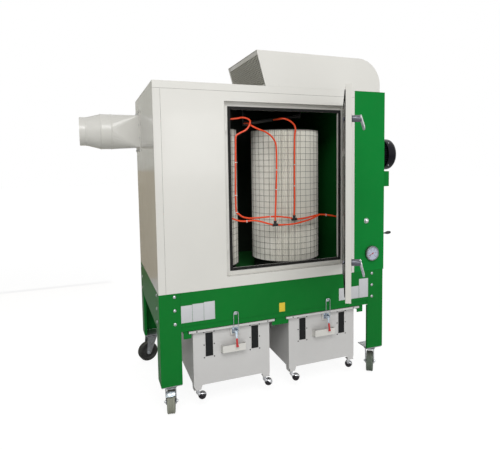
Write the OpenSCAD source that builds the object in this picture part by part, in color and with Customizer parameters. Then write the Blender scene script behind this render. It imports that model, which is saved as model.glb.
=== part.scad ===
// Cartridge dust extractor: a sheet-metal filter cabinet on a four-leg frame,
// with a fan column on its right, an outlet hood on the roof, an inlet on the
// left and two dust bins that slide out underneath.
// Millimetres. X runs right along the front, Y runs back, Z runs up.
// The origin is the middle of the bounding box's bottom, on the floor.

/* [Cabinet] */
// Width of the cream cabinet, without the fan column
cab_w = 1380; // [1260:5:1700]
// Depth of cabinet, column and frame
cab_d = 1055; // [1000:5:1400]
// Height of the roof above the floor
roof_z = 2100; // [2080:5:2600]
// Height of the frame's top, where the cabinet stands
deck_z = 810; // [780:5:830]
// Thickness of the cabinet's sheet
sheet_t = 2.5; // [1.5:0.5:4]
// Width of the folded returns round the front panel
return_w = 45; // [30:1:60]

/* [Fan column] */
// Width of the green fan column
col_w = 245; // [200:5:400]
// Thickness of the column's sheet
col_t = 3; // [2:0.5:5]
// How far the column stands out past the frame's right side
col_out = 7; // [0:1:12]
// Height of the motor's axis above the floor
motor_z = 1661; // [1600:1:1700]
// Distance of the motor's axis from the front
motor_y = 320; // [250:5:500]
// Diameter over the motor's fan cowl
motor_d = 244; // [180:2:280]
// Length of the motor outside the column
motor_l = 270; // [200:5:350]

/* [Outlet hood] */
// Height of the hood over the roof
hood_h = 224; // [180:2:300]
// Depth of the hood, from the front
hood_d = 641; // [560:1:800]
// Place of the hood's open end on the roof, from the left
hood_x = 714; // [600:2:800]
// How far the hood's open end leans out at its top
hood_lean = 60; // [0:2:100]
// Gap between the hood's right end and the column's right face
hood_inset = 37; // [10:1:60]
// Radius of the hood's rounded top corner
hood_r = 178; // [100:2:180]

/* [Frame] */
// Width of a leg's face
leg_w = 132; // [100:2:150]
// Thickness of the legs
leg_t = 4; // [3:0.5:6]
// Height of the legs' lower ends above the floor
leg_z = 225; // [218:1:260]
// Height of the skirt between the legs
skirt_h = 250; // [200:2:251]
// Thickness of the skirt
skirt_t = 3; // [2:0.5:4]
// Height of the folded rail under the skirt
skirt_rail_h = 26; // [20:1:40]

/* [Door] */
// Left edge of the door opening, from the cabinet's left face
open_x = 435; // [300:5:460]
// Width of the door opening
open_w = 850; // [700:5:880]
// Height of the door opening's sill above the floor
open_z = 881; // [860:1:900]
// Height of the door opening
open_h = 1113; // [900:1:1120]
// Depth of the recess behind the front panel
recess_d = 34; // [25:1:40]
// Width of the lip round the recess
lip_w = 47; // [35:1:60]
// Width of the seal on the lip
seal_w = 13; // [10:1:18]
// Width of the lip at the hinge side
lip_hinge_w = 20; // [18:1:30]
// Overlap of the door on the front panel
door_overlap = 6; // [4:1:12]
// Thickness of the door
door_t = 30; // [24:1:40]
// Gap between the closed door and the front panel
door_gap = 2; // [1:0.5:4]
// Angle at which the door stands open
door_angle = 60; // [0:1:110]
// Distance of the latches from the door's free edge
latch_inset = 80; // [76:1:100]
// Distance of the upper latch from the door's top
latch_high = 167; // [120:1:300]
// Distance of the lower latch from the door's bottom
latch_low = 199; // [120:1:300]

/* [Inlet] */
// Distance of the inlet's axis from the front
inlet_y = 902; // [860:1:905]
// Height of the inlet's axis above the floor
inlet_z = 1850; // [1500:5:1900]
// Side of the inlet's square end
inlet_sq = 236; // [200:2:260]
// Outer diameter of the round collar
collar_d = 260; // [220:2:270]
// Outer diameter of the duct spigot
spigot_d = 208; // [150:1:216]
// Length of the square-to-round piece
transition_l = 195; // [150:5:250]
// Length of the round collar
collar_l = 75; // [40:5:120]
// Length of the taper down to the spigot
taper_l = 100; // [60:5:150]
// Length of the duct spigot
spigot_l = 46; // [40:1:100]

/* [Filters] */
// Outer diameter of a filter cartridge
filter_d = 508; // [400:2:520]
// Height of a filter cartridge
filter_h = 931; // [700:1:960]
// Height of the ring that a cartridge stands on
filter_base_h = 95; // [60:1:110]
// Distance of the cartridges' axes from the front
filter_y = 354; // [350:1:380]
// Place of the left cartridge's axis
filter_x = 359; // [330:1:360]
// Distance between the two cartridges' axes
filter_pitch = 634; // [560:2:660]

/* [Bins] */
// Outside width of a dust bin
bin_w = 522; // [440:2:526]
// Outside depth of a dust bin
bin_d = 900; // [600:5:905]
// Height of a dust bin's body
bin_h = 375; // [300:5:385]
// Height of a bin's rim above the floor
bin_rim_z = 555; // [548:1:556]
// Width of the rim that stands out round a bin
bin_rim_w = 29; // [24:1:30]
// Distance between the two bins' middles
bin_pitch = 666; // [664:1:680]
// Distance of a bin's front face from the cabinet's front
bin_y = 32; // [30:1:36]
// Thickness of the bins' sheet
bin_t = 2; // [1.5:0.5:3]

/* [Casters] */
// Diameter of a caster's wheel
wheel_d = 150; // [100:5:160]
// Width of a caster's wheel
wheel_w = 50; // [32:1:54]
// Distance from a caster's swivel axis to its axle
caster_trail = 42; // [30:1:45]

/* [Hidden] */
$fn = 64;

// Running gaps
seam = 0.5;
slide_gap = 2;
e = 0.1;

// Overall places
total_w = cab_w + col_w;
col_x = total_w + col_out;
inlet_end_x = -(transition_l + collar_l + taper_l + spigot_l);
motor_end_x = col_x + motor_l;
skirt_z = deck_z - skirt_h;

// The door turns about a pin at its right edge, in front of the panel
hinge_gap = 5;
door_w = open_w + 2 * door_overlap;
door_h = open_h + 2 * door_overlap;
door_z = open_z - door_overlap;
hinge_x = open_x + open_w + door_overlap + hinge_gap;
hinge_y = -door_gap - door_t / 2;
door_out = -door_gap - door_t;
front_y = hinge_y - (hinge_gap + door_w) * sin(door_angle)
  - door_t / 2 * abs(cos(door_angle));

// Middle of the bounding box
origin_x = (inlet_end_x + motor_end_x) / 2;
origin_y = (front_y + cab_d) / 2;

// Casters
leg_mid = leg_w / 2;
caster_xy = [[leg_mid, leg_mid], [total_w - leg_mid, leg_mid],
  [leg_mid, cab_d - leg_mid], [total_w - leg_mid, cab_d - leg_mid]];
// Direction each caster trails, turned from straight back towards the left
caster_turn = [-11, -36, 104, 165];
caster_plate_t = 6;
race_h = 16;
fork_top_z = leg_z - caster_plate_t - race_h - 1;
fork_t = 4;
fork_clear = 4;
axle_r = 6;
axle_clear = 0.05;

// Bins
bins_x = (total_w - 20) / 2;
bin_x = [bins_x - bin_pitch / 2, bins_x + bin_pitch / 2];
bin_floor_z = bin_rim_z - bin_h;
bin_lip_h = 14;
rail_z = bin_rim_z - bin_lip_h - slide_gap;
window_w = 50;
window_h = 157;
window_x = 156;
window_top = 33;
pane_margin = 14;
latch_x = [15, 26];

// Air hoses in front of the cartridges, as points of X, Y and Z
hose_d = 12;
hose_a = [[2.5, 85, 1868], [240, 85, 1874], [510, 85, 1892], [585, 85, 1903], [633, 85, 1882],
  [611, 85, 1829], [556, 85, 1799], [533, 85, 1776], [530, 85, 1692], [525, 85, 1318],
  [546, 85, 1271], [574, 85, 1249], [615, 85, 1238]];
hose_b = [[622, 189, 1872], [630, 130, 1870], [648, 84, 1848], [688, 83, 1830], [736, 83, 1813],
  [780, 83, 1785], [809, 83, 1745], [817, 83, 1690], [816, 80, 1557], [808, 76, 1380],
  [798, 71, 1210]];
hose_c = [[838, 189, 1904], [846, 130, 1902], [869, 88, 1904], [906, 85, 1895],
  [943, 85, 1872], [961, 85, 1840], [955, 85, 1785], [953, 85, 1692], [951, 85, 1485],
  [951, 85, 1346], [947, 85, 1240]];
hose_d_pts = [[cab_w - sheet_t, 85, 1206], [1291, 85, 1212], [1213, 85, 1227], [1144, 85, 1234],
  [1069, 85, 1222], [1007, 85, 1214], [947, 85, 1213], [915, 85, 1224], [840, 85, 1236],
  [766, 85, 1240], [679, 85, 1238], [615, 85, 1238]];
hose_e = [[1144, 85, 1234], [1069, 76, 1207], [991, 71, 1190], [914, 71, 1181], [798, 71, 1184],
  [740, 71, 1198], [690, 71, 1214], [636, 71, 1224], [594, 71, 1222], [538, 71, 1228],
  [440, 71, 1262], [220, 71, 1292], [2.5, 71, 1300]];
tees = [[798, 71, 1193], [947, 85, 1222]];

cream = "#e6e4da";
green = "#12762a";
zinc = "#b9bcc0";
black = "#1b1b1c";

module at_origin() {
  translate([-origin_x, -origin_y, 0]) children();
}

// A box from its low corner to its high corner
module block(low, high) {
  translate(low) cube(high - low);
}

// A cylinder lying along X
module rod_x(r, x0, x1, y, z) {
  translate([x0, y, z]) rotate([0, 90, 0]) cylinder(r = r, h = x1 - x0);
}

// A cylinder lying along Y
module rod_y(r, x, y0, y1, z) {
  translate([x, y0, z]) rotate([-90, 0, 0]) cylinder(r = r, h = y1 - y0);
}

// Mirrors the frame's left half to its right, and its front to its rear
module corner(right, rear) {
  translate([right ? total_w : 0, rear ? cab_d : 0, 0])
    mirror([right ? 1 : 0, 0, 0]) mirror([0, rear ? 1 : 0, 0]) children();
}

// ---- Frame ----

leg_return = 20;
lip_gap = 6;

module leg(right, rear) {
  at_origin() color(green) corner(right, rear) {
    block([0, 0, leg_z], [leg_w, leg_t, deck_z]);
    block([0, 0, leg_z], [leg_t, leg_w, deck_z]);
    block([leg_w - leg_t, 0, leg_z], [leg_w, leg_return, skirt_z - lip_gap]);
    block([0, leg_w - leg_t, leg_z], [leg_return, leg_w, skirt_z - lip_gap]);
  }
}

// One skirt panel, drawn along X from 0 to its length, with its outer face at Y = 0
skirt_tab = 60;
skirt_step = 8;
module skirt_panel(length) {
  rail_top = skirt_z + skirt_rail_h;
  block([0, 0, rail_top + skirt_step], [length, skirt_t, deck_z]);
  block([0, leg_t, rail_top - e], [length, leg_t + skirt_t, rail_top + 2 * skirt_step]);
  block([0, 0, rail_top + skirt_step], [length, leg_t + skirt_t, rail_top + 2 * skirt_step]);
  block([0, leg_t, skirt_z], [length, leg_t + 30, rail_top]);
  block([0, 0, deck_z - skirt_t], [length, 40, deck_z]);
  // Joggled tabs that bolt on behind the legs' faces
  for (x = [-skirt_tab, length - 1])
    block([x, leg_t, skirt_z], [x + skirt_tab + 1, leg_t + skirt_t, deck_z - skirt_t - e]);
}

skirt_front_l = total_w - 2 * leg_w - 2 * seam;
skirt_side_l = cab_d - 2 * leg_w - 2 * seam;
keeper_z = 644;
keeper_w = 14;
keeper_t = 2;

module skirt_front() {
  at_origin() color(green) {
    translate([leg_w + seam, 0, 0]) skirt_panel(skirt_front_l);
    for (i = [0, 1]) {
      x = bin_x[i] + latch_x[i];
      block([x - 12, -keeper_t, keeper_z - 18], [x + 12, e, keeper_z]);
      block([x - keeper_w / 2, -14, keeper_z - 4], [x + keeper_w / 2, e, keeper_z]);
    }
  }
}

module skirt_rear() {
  at_origin() color(green) translate([leg_w + seam, cab_d, 0])
    mirror([0, 1, 0]) skirt_panel(skirt_front_l);
}

module skirt_side(right) {
  at_origin() color(green) corner(right, false) translate([0, leg_w + seam, 0])
    multmatrix([[0, 1, 0, 0], [1, 0, 0, 0], [0, 0, 1, 0], [0, 0, 0, 1]])
      skirt_panel(skirt_side_l);
}

// Rails under the skirt that carry the bins' rims
rail_t = 3;
rail_drop = 27;
rail_ledge = 35;
rail_gap = 18;
rail_end = 15;
module bin_rail(x, side) {
  x1 = x + side * rail_t;
  x2 = x + side * rail_ledge;
  y0 = leg_t + 6;
  y1 = cab_d - y0;
  block([min(x, x1), y0, rail_z - rail_t - rail_drop], [max(x, x1), y1, skirt_z]);
  block([min(x, x2), y0, rail_z - rail_t], [max(x, x2), y1, rail_z]);
  x3 = x + side * (rail_gap - 6);
  block([min(x, x3), y0, skirt_z - rail_t], [max(x, x3), leg_t + 30, skirt_z]);
  // Plates that close the rail's two ends
  x4 = x - side * rail_end;
  for (y = [y0, y1 - rail_t]) {
    block([min(x4, x2), y, rail_z - rail_t - rail_drop], [max(x4, x2), y + rail_t, rail_z - e]);
    block([min(x4, x3), y, rail_z - rail_t - rail_drop], [max(x4, x3), y + rail_t, skirt_z]);
  }
}

module bin_rails() {
  half = bin_w / 2 + bin_rim_w + rail_gap;
  at_origin() color(green) {
    for (x = bin_x) {
      bin_rail(x - half, 1);
      bin_rail(x + half, -1);
    }
    // Joint plates between the two middle rails
    for (y = [leg_t + 6, cab_d - leg_t - 6 - rail_t]) {
      block([bin_x[0] + half, y, rail_z - rail_t - rail_drop],
        [bin_x[1] - half, y + rail_t, skirt_z]);
    }
  }
}

// Tapered hoppers between the chamber's floor and the bins
hopper_gap = 7;
hopper_in = 26;
hopper_top_in = 46;
hopper_hole_d = filter_d - 104;
hopper_mid_x = filter_x + filter_pitch / 2;
module hopper_shape(i, inset) {
  top_low = i == 0 ? hopper_top_in : hopper_mid_x + hopper_top_in;
  top_high = i == 0 ? hopper_mid_x - hopper_top_in : cab_w - hopper_top_in;
  bottom_w = bin_w - 2 * hopper_in;
  z0 = bin_rim_z + hopper_gap;
  hull() {
    block([bin_x[i] - bottom_w / 2 + inset, bin_y + hopper_in + inset, z0 - (inset > 0 ? e : 0)],
      [bin_x[i] + bottom_w / 2 - inset, bin_y + bin_d - hopper_in - inset, z0 + 8]);
    block([top_low + inset, 50 + inset, deck_z - 1],
      [top_high - inset, cab_d - 50 - inset, deck_z + (inset > 0 ? e : 0)]);
  }
}

module hopper(i) {
  at_origin() color(green) difference() {
    hopper_shape(i, 0);
    hopper_shape(i, sheet_t);
  }
}

module chamber_floor() {
  at_origin() color(green) difference() {
    block([sheet_t + seam, sheet_t + seam, deck_z], [cab_w - sheet_t - seam, cab_d - sheet_t,
      deck_z + sheet_t]);
    for (x = [filter_x, filter_x + filter_pitch])
      translate([x, filter_y, deck_z - e]) cylinder(d = hopper_hole_d, h = sheet_t + 2 * e);
  }
}

// ---- Cabinet ----

module left_wall() {
  at_origin() color(cream) difference() {
    union() {
      block([0, sheet_t, deck_z], [sheet_t, cab_d - sheet_t, roof_z - sheet_t]);
      block([0, 0, deck_z], [return_w, sheet_t, roof_z - return_w - seam]);
    }
    translate([-e, inlet_y, inlet_z]) rotate([0, 90, 0])
      cylinder(d = collar_d - 2 * inlet_t, h = sheet_t + 2 * e);
  }
}

module rear_wall() {
  at_origin() color(cream)
    block([0, cab_d - sheet_t, deck_z], [cab_w, cab_d, roof_z - sheet_t]);
}

module roof() {
  at_origin() color(cream) {
    block([0, 0, roof_z - sheet_t], [cab_w, cab_d, roof_z]);
    block([0, 0, roof_z - return_w], [cab_w, sheet_t, roof_z]);
  }
}

module front_panel() {
  at_origin() color(cream) difference() {
    block([return_w + seam, 0, deck_z + seam], [cab_w, sheet_t, roof_z - return_w - seam]);
    block([open_x, -e, open_z], [open_x + open_w, sheet_t + e, open_z + open_h]);
  }
}

module partition() {
  at_origin() color(green)
    block([cab_w - sheet_t, sheet_t, deck_z], [cab_w, cab_d - sheet_t, roof_z - sheet_t]);
}

// A rectangular ring round the door opening, grown out by 'out' and in by 'in', with
// its right side less far in by 'right'
module opening_ring(out, in, y0, y1, right = 0) {
  x1 = open_x + open_w + right;
  difference() {
    block([open_x - out, y0, open_z - out],
      [(out > 0 ? open_x + open_w : x1) + out, y1, open_z + open_h + out]);
    block([open_x + in, y0 - e, open_z + in], [x1 - in, y1 + e, open_z + open_h - in]);
  }
}

// Strikes that the latches' cams turn in behind
strike_w = 11;
strike_t = 3;
strike_h = 44;

hem_d = 18;
module door_frame() {
  hem_x = open_x + open_w - lip_hinge_w;
  at_origin() color(cream) {
    opening_ring(sheet_t, 0, sheet_t, recess_d + sheet_t);
    opening_ring(sheet_t, lip_w, recess_d, recess_d + sheet_t, lip_w - lip_hinge_w);
    // Hem folded back at the lip's hinge side
    block([hem_x, recess_d, open_z + lip_w], [hem_x + sheet_t, recess_d + hem_d, open_z + open_h - lip_w]);
    for (z = latch_zs) {
      block([open_x - e, sheet_t + e, z - strike_h / 2], [open_x + 2, 6, z + strike_h / 2]);
      block([open_x + seam, 0, z - strike_h / 2], [open_x + strike_w, strike_t, z + strike_h / 2]);
    }
  }
}

seal_h = 8;
module door_frame_seal() {
  at_origin() color(black)
    opening_ring(seal_w - lip_w, lip_w, recess_d - seal_h, recess_d, lip_w - lip_hinge_w);
}

// ---- Fan column, motor and outlet hood ----

module fan_column() {
  at_origin() color(green) difference() {
    block([cab_w, 0, deck_z], [col_x, cab_d, roof_z]);
    block([cab_w + col_t, col_t, deck_z + col_t], [col_x - col_t, cab_d - col_t, roof_z - col_t]);
  }
}

shelf_x = 190;
shelf_y = 240;
shelf_z = 118;
shelf_t = 4;
motor_foot = 11;
motor_r = motor_d / 2;
shelf_top = motor_z - motor_r - motor_foot;
module motor_shelf() {
  at_origin() color(green) difference() {
    block([col_x, motor_y - shelf_y / 2, shelf_top - shelf_z],
      [col_x + shelf_x, motor_y + shelf_y / 2, shelf_top]);
    block([col_x - e, motor_y - shelf_y / 2 + shelf_t, shelf_top - shelf_z - e],
      [col_x + shelf_x - shelf_t, motor_y + shelf_y / 2 - shelf_t, shelf_top - shelf_t]);
  }
}

cowl_l = 85;
cowl_dome = 12;
module fan_motor() {
  barrel_r = motor_r - 10;
  at_origin() color(black) {
    rod_x(motor_r, col_x, col_x + 14, motor_y, motor_z);
    rod_x(barrel_r, col_x + 13, motor_end_x - cowl_l + 1, motor_y, motor_z);
    rod_x(motor_r, motor_end_x - cowl_l, motor_end_x - cowl_dome, motor_y, motor_z);
    translate([motor_end_x - cowl_dome - e, motor_y, motor_z]) rotate([0, 90, 0])
      cylinder(r1 = motor_r, r2 = motor_r - 26, h = cowl_dome + e);
    for (y = [-80, 50])
      block([col_x + 30, motor_y + y, shelf_top],
        [col_x + 150, motor_y + y + 30, motor_z - barrel_r * 0.7]);
  }
}

// Side profile of the hood, X and Z from the open end's foot
hood_l = total_w - hood_inset - hood_x;
hood_t = 2.5;
module hood_profile(inset) {
  low = inset > 0 ? -e : 0;
  left = inset > 0 ? -e - 1 : 0;
  polygon(concat(
    [[left, low], [left - hood_lean, hood_h - inset]],
    [for (a = [90 : -7.5 : 0])
      [hood_l - hood_r + (hood_r - inset) * cos(a), hood_h - hood_r + (hood_r - inset) * sin(a)]],
    [[hood_l - inset, low]]));
}

// The top sheet, rolled down at the right
module outlet_hood() {
  at_origin() color(cream) translate([hood_x, hood_d - hood_t, roof_z]) rotate([90, 0, 0])
    linear_extrude(hood_d - 2 * hood_t) difference() {
      hood_profile(0);
      hood_profile(hood_t);
    }
}

module hood_sides() {
  at_origin() color(cream) for (y = [hood_t, hood_d])
    translate([hood_x, y, roof_z]) rotate([90, 0, 0]) linear_extrude(hood_t) hood_profile(0);
}

grille_frame = 22;
grille_bars = 14;
grille_t = 6;
grille_set = 6;
module outlet_grille() {
  slope = atan(hood_lean / hood_h);
  length = (hood_h - hood_t - 0.5) / cos(slope);
  width = hood_d - 2 * hood_t - 1;
  pitch = (width - 2 * grille_frame) / grille_bars;
  at_origin() color(cream) translate([hood_x + grille_set, hood_t + 0.5, roof_z])
    difference() {
      rotate([0, -slope, 0]) difference() {
        translate([0, 0, -grille_t]) cube([grille_t, width, length + grille_t - grille_set * sin(slope)]);
        for (i = [0 : grille_bars - 1])
          translate([-e, grille_frame + (i + 0.25) * pitch, grille_frame])
            cube([grille_t + 2 * e, pitch * 0.5, length - 2 * grille_frame]);
      }
      translate([-20, -e, -20]) cube([60, width + 2 * e, 20]);
    }
}

// ---- Instruments on the column ----

gauge_d = 108;
gauge_h = 22;
module pressure_gauge() {
  at_origin() color(black) translate([total_w - 102, 0, 940]) rotate([90, 0, 0]) {
    cylinder(d = gauge_d, h = gauge_h - 4);
    difference() {
      cylinder(d = gauge_d - 4, h = gauge_h);
      translate([0, 0, gauge_h - 3]) cylinder(d = gauge_d - 16, h = 4);
    }
  }
}

module dome_button() {
  at_origin() color("silver") translate([total_w - 144, 0, 1179]) rotate([90, 0, 0]) {
    cylinder(d = 40, h = 4);
    cylinder(d1 = 36, d2 = 26, h = 13);
    translate([0, 0, 12.9]) cylinder(d1 = 26, d2 = 12, h = 4);
  }
}

handle_tilt = -3;
handle_z = 1060;
module side_handle() {
  at_origin() color(black) {
    rod_x(14, col_x, col_x + 12, 80, handle_z);
    translate([col_x, 80, handle_z]) rotate([0, 90 - handle_tilt, 0]) {
      cylinder(r = 4.5, h = 72);
      translate([0, 0, 68]) cylinder(r1 = 6, r2 = 12, h = 22);
      translate([0, 0, 90]) cylinder(r1 = 12, r2 = 9, h = 28);
    }
  }
}

// ---- Inlet ----

inlet_t = 2;
flange_t = 4;
flange_y = 290;
flange_z = 306;
module transition_shape(inset) {
  hull() {
    translate([-flange_t - (inset > 0 ? -flange_t - e : 0), inlet_y, inlet_z]) rotate([0, -90, 0])
      translate([-inlet_sq / 2 + inset, -inlet_sq / 2 + inset, 0])
        cube([inlet_sq - 2 * inset, inlet_sq - 2 * inset, 1]);
    translate([-transition_l + (inset > 0 ? -e : 1), inlet_y, inlet_z]) rotate([0, -90, 0])
      cylinder(d = collar_d - 2 * inset, h = 1, $fn = 32);
  }
}

module inlet_transition() {
  at_origin() color(cream) difference() {
    union() {
      block([-flange_t, inlet_y - flange_y / 2, inlet_z - flange_z / 2],
        [0, inlet_y + flange_y / 2, inlet_z + flange_z / 2]);
      transition_shape(0);
      rod_x(collar_d / 2, -transition_l - collar_l, -transition_l + 1, inlet_y, inlet_z);
    }
    transition_shape(inlet_t);
    rod_x(collar_d / 2 - inlet_t, -transition_l - collar_l - e, -transition_l + 2, inlet_y, inlet_z);
  }
}

module inlet_reducer() {
  x1 = -transition_l - collar_l;
  x2 = x1 - taper_l;
  at_origin() color(cream) translate([x1, inlet_y, inlet_z]) rotate([0, -90, 0])
    rotate_extrude($fn = 96) polygon([
      [collar_d / 2 - inlet_t, 0], [collar_d / 2, 0], [spigot_d / 2, taper_l],
      [spigot_d / 2, taper_l + spigot_l], [spigot_d / 2 - inlet_t, taper_l + spigot_l],
      [spigot_d / 2 - inlet_t, taper_l]]);
}

// ---- Filter chamber ----

filter_wall = 50;
cap_h = 14;
module filter(i) {
  z0 = deck_z + sheet_t;
  z1 = z0 + filter_base_h;
  r = filter_d / 2;
  at_origin() color("#dedbd0") translate([filter_x + i * filter_pitch, filter_y, 0]) difference() {
    union() {
      translate([0, 0, z0]) cylinder(r = r - 16, h = filter_base_h + 1);
      translate([0, 0, z1]) cylinder(r = r, h = filter_h);
    }
    translate([0, 0, z0 - e]) cylinder(r = r - filter_wall, h = filter_base_h + filter_h - cap_h);
  }
}

// Black air pipe across the chamber over the cartridges, hung from the roof,
// and the tees that join the hoses
bar_r = 11;
bar_x = [620, 1050];
bar_z = [1872, 1935];
bar_y = 200;
module air_fittings() {
  length = norm([bar_x[1] - bar_x[0], bar_z[1] - bar_z[0]]);
  rise = atan2(bar_z[1] - bar_z[0], bar_x[1] - bar_x[0]);
  at_origin() color(black) {
    translate([bar_x[0], bar_y, bar_z[0]]) rotate([0, 90 - rise, 0]) cylinder(r = bar_r, h = length);
    for (i = [0, 1])
      block([bar_x[i] - 3, bar_y - 8, bar_z[i] - 14], [bar_x[i] + 3, bar_y + 8, roof_z - sheet_t]);
    for (t = tees) translate(t) {
      translate([-17, 0, -9]) rotate([0, 90, 0]) cylinder(r = 9, h = 34);
      translate([0, 0, -9]) cylinder(r = 9, h = 26);
    }
  }
}

// A tube through points: rings of 8 sides on a Catmull-Rom curve
hose_sides = 8;
function spline(p, t) =
  let (i = min(floor(t), len(p) - 2), u = t - i,
    a = p[max(i - 1, 0)], b = p[i], c = p[i + 1], d = p[min(i + 2, len(p) - 1)])
  b + u / 2 * ((c - a) + u * ((2 * a - 5 * b + 4 * c - d) + u * (3 * b - a - 3 * c + d)));
module tube(route) {
  rings = len(route) + 4;
  c = [for (k = [0 : rings - 1]) spline(route, k * (len(route) - 1) / (rings - 1))];
  tangent = [for (k = [0 : rings - 1])
    let (v = c[min(k + 1, rings - 1)] - c[max(k - 1, 0)]) v / norm(v)];
  side = [for (t = tangent) let (v = cross(t, [0.3, 1, 0])) v / norm(v)];
  points = [for (k = [0 : rings - 1]) for (n = [0 : hose_sides - 1])
    let (a = n * 360 / hose_sides)
    c[k] + hose_d / 2 * (cos(a) * cross(side[k], tangent[k]) + sin(a) * side[k])];
  faces = concat(
    [[for (n = [0 : hose_sides - 1]) n]],
    [for (k = [0 : rings - 2]) for (n = [0 : hose_sides - 1])
      let (m = (n + 1) % hose_sides)
      [k * hose_sides + m, k * hose_sides + n, (k + 1) * hose_sides + n, (k + 1) * hose_sides + m]],
    [[for (n = [0 : hose_sides - 1]) rings * hose_sides - 1 - n]]);
  polyhedron(points, faces);
}

module air_hoses() {
  at_origin() color("#e2401c") {
    tube(hose_a);
    tube(hose_b);
    tube(hose_c);
    tube(hose_d_pts);
    tube(hose_e);
  }
}

// ---- Door ----

// Places its children in the closed door's place, then swings them open
module on_door() {
  at_origin() translate([hinge_x, hinge_y, 0]) rotate([0, 0, door_angle])
    translate([-hinge_x, -hinge_y, 0]) children();
}

door_left_x = open_x - door_overlap;
hinge_zs = [door_z + 150, door_z + door_h - 150];
hinge_pin_r = 5;
hinge_leaf_w = 26;
hinge_h = 60;
knuckle_r = 9;

// Fixed knuckles with their pins, on plates at the panel
module door_hinge_plates() {
  at_origin() color(cream) for (z = hinge_zs) {
    translate([hinge_x, hinge_y, z - hinge_h / 2]) cylinder(r = knuckle_r, h = hinge_h / 2 - 0.5);
    translate([hinge_x, hinge_y, z - hinge_h / 2]) cylinder(r = hinge_pin_r, h = hinge_h);
    block([hinge_x, hinge_y, z - hinge_h / 2], [hinge_x + 6, -e, z - 0.5]);
    block([hinge_x, -4, z - hinge_h / 2], [hinge_x + hinge_leaf_w, 0, z + hinge_h / 2]);
  }
}

latch_xs = door_left_x + latch_inset;
latch_zs = [door_z + door_h - latch_high, door_z + latch_low];
shaft_r = 7;
module door_panel() {
  on_door() color(cream) difference() {
    union() {
      block([door_left_x, door_out, door_z], [door_left_x + door_w, -door_gap, door_z + door_h]);
      for (z = hinge_zs) {
        translate([hinge_x, hinge_y, z + 0.5]) cylinder(r = knuckle_r, h = hinge_h / 2 - 0.5);
        block([door_left_x + door_w - 1, hinge_y - 4, z + 0.5], [hinge_x, hinge_y + 4, z + hinge_h / 2]);
      }
    }
    for (z = hinge_zs) {
      translate([hinge_x, hinge_y, z]) cylinder(r = hinge_pin_r + 0.05, h = hinge_h);
      translate([hinge_x, hinge_y, z - hinge_h / 2 - 6])
        cylinder(r = knuckle_r + 2, h = hinge_h / 2 + 6.5);
    }
    for (z = latch_zs) rod_y(shaft_r + 0.05, latch_xs, door_out - 1, 1, z);
  }
}

gasket_w = 16;
gasket_h = 5;
gasket_in = 17;
module door_gasket() {
  on_door() color(black)
    opening_ring(-gasket_in, gasket_in + gasket_w, -door_gap, gasket_h - door_gap);
}

// Lever, shaft and cam turn together in the door
cam_y = strike_t + 5;
cam_t = 4;
cam_l = latch_inset - door_overlap - 7;
boss_r = 18;
boss_l = 52;
lever_w = 22;
lever_t = 14;
lever_l = 83;
lever_tilt = 15;
// Angle at which each lever is left, from straight down towards the hinges
lever_turn = [48, 0];
module door_latch(i) {
  on_door() color(zinc) translate([latch_xs, 0, latch_zs[i]]) rotate([0, -lever_turn[i], 0]) {
    rod_y(shaft_r, 0, door_out - boss_l, cam_y + cam_t, 0);
    rod_y(boss_r, 0, door_out - boss_l, door_out - 0.5, 0);
    block([-9, cam_y, -cam_l], [9, cam_y + cam_t, 0]);
    // Lever, out from the boss's end and down
    translate([-lever_w / 2, door_out - boss_l + lever_t, boss_r]) rotate([-lever_tilt, 0, 0])
      translate([0, -lever_t, -lever_l - boss_r]) cube([lever_w, lever_t, lever_l + boss_r - 3]);
  }
}

// ---- Dust bins ----

module bin_box(i) {
  x0 = bin_x[i] - bin_w / 2;
  x1 = bin_x[i] + bin_w / 2;
  y1 = bin_y + bin_d;
  pad_z = bin_rim_z - bin_lip_h + 4;
  at_origin() color(cream) {
    difference() {
      block([x0, bin_y, bin_floor_z], [x1, y1, bin_rim_z]);
      block([x0 + bin_t, bin_y + bin_t, bin_floor_z + bin_t], [x1 - bin_t, y1 - bin_t, bin_rim_z + e]);
      for (s = [-1, 1])
        block([bin_x[i] + s * window_x - window_w / 2, bin_y - e, bin_rim_z - window_top - window_h],
          [bin_x[i] + s * window_x + window_w / 2, bin_y + bin_t + e, bin_rim_z - window_top]);
    }
    difference() {
      block([x0 - bin_rim_w, bin_y - bin_rim_w, bin_rim_z - bin_lip_h],
        [x1 + bin_rim_w, y1 + bin_rim_w, bin_rim_z]);
      block([x0 - bin_rim_w + bin_t, bin_y - bin_rim_w + bin_t, bin_rim_z - bin_lip_h - e],
        [x1 + bin_rim_w - bin_t, y1 + bin_rim_w - bin_t, bin_rim_z - bin_t]);
      block([x0 + e, bin_y + e, bin_rim_z - bin_t - e], [x1 - e, y1 - e, bin_rim_z + e]);
    }
    // Packing block behind the toggle latch
    block([bin_x[i] + latch_x[i] - 30, bin_y - 12, pad_z - 58],
      [bin_x[i] + latch_x[i] + 30, bin_y + e, pad_z]);
    for (right = [0, 1], rear = [0, 1])
      translate([right ? x1 : x0, rear ? y1 : bin_y, bin_floor_z])
        mirror([right, 0, 0]) mirror([0, rear, 0]) bin_foot();
  }
}

// Corner bracket under a bin, that a ball caster screws into
foot_top = 56;
foot_in = 12;
foot_low = 46;
foot_h = 30;
foot_t = 3;
module foot_plate() {
  linear_extrude(foot_t)
    polygon([[0, e], [foot_top, e], [foot_top, 0], [foot_low, -foot_h], [foot_in, -foot_h], [0, 0]]);
}
module bin_foot() {
  translate([0, foot_t, 0]) rotate([90, 0, 0]) foot_plate();
  mirror([1, -1, 0]) translate([0, foot_t, 0]) rotate([90, 0, 0]) foot_plate();
  block([0, 0, -foot_h], [foot_low, foot_low, foot_t - foot_h]);
}

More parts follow.
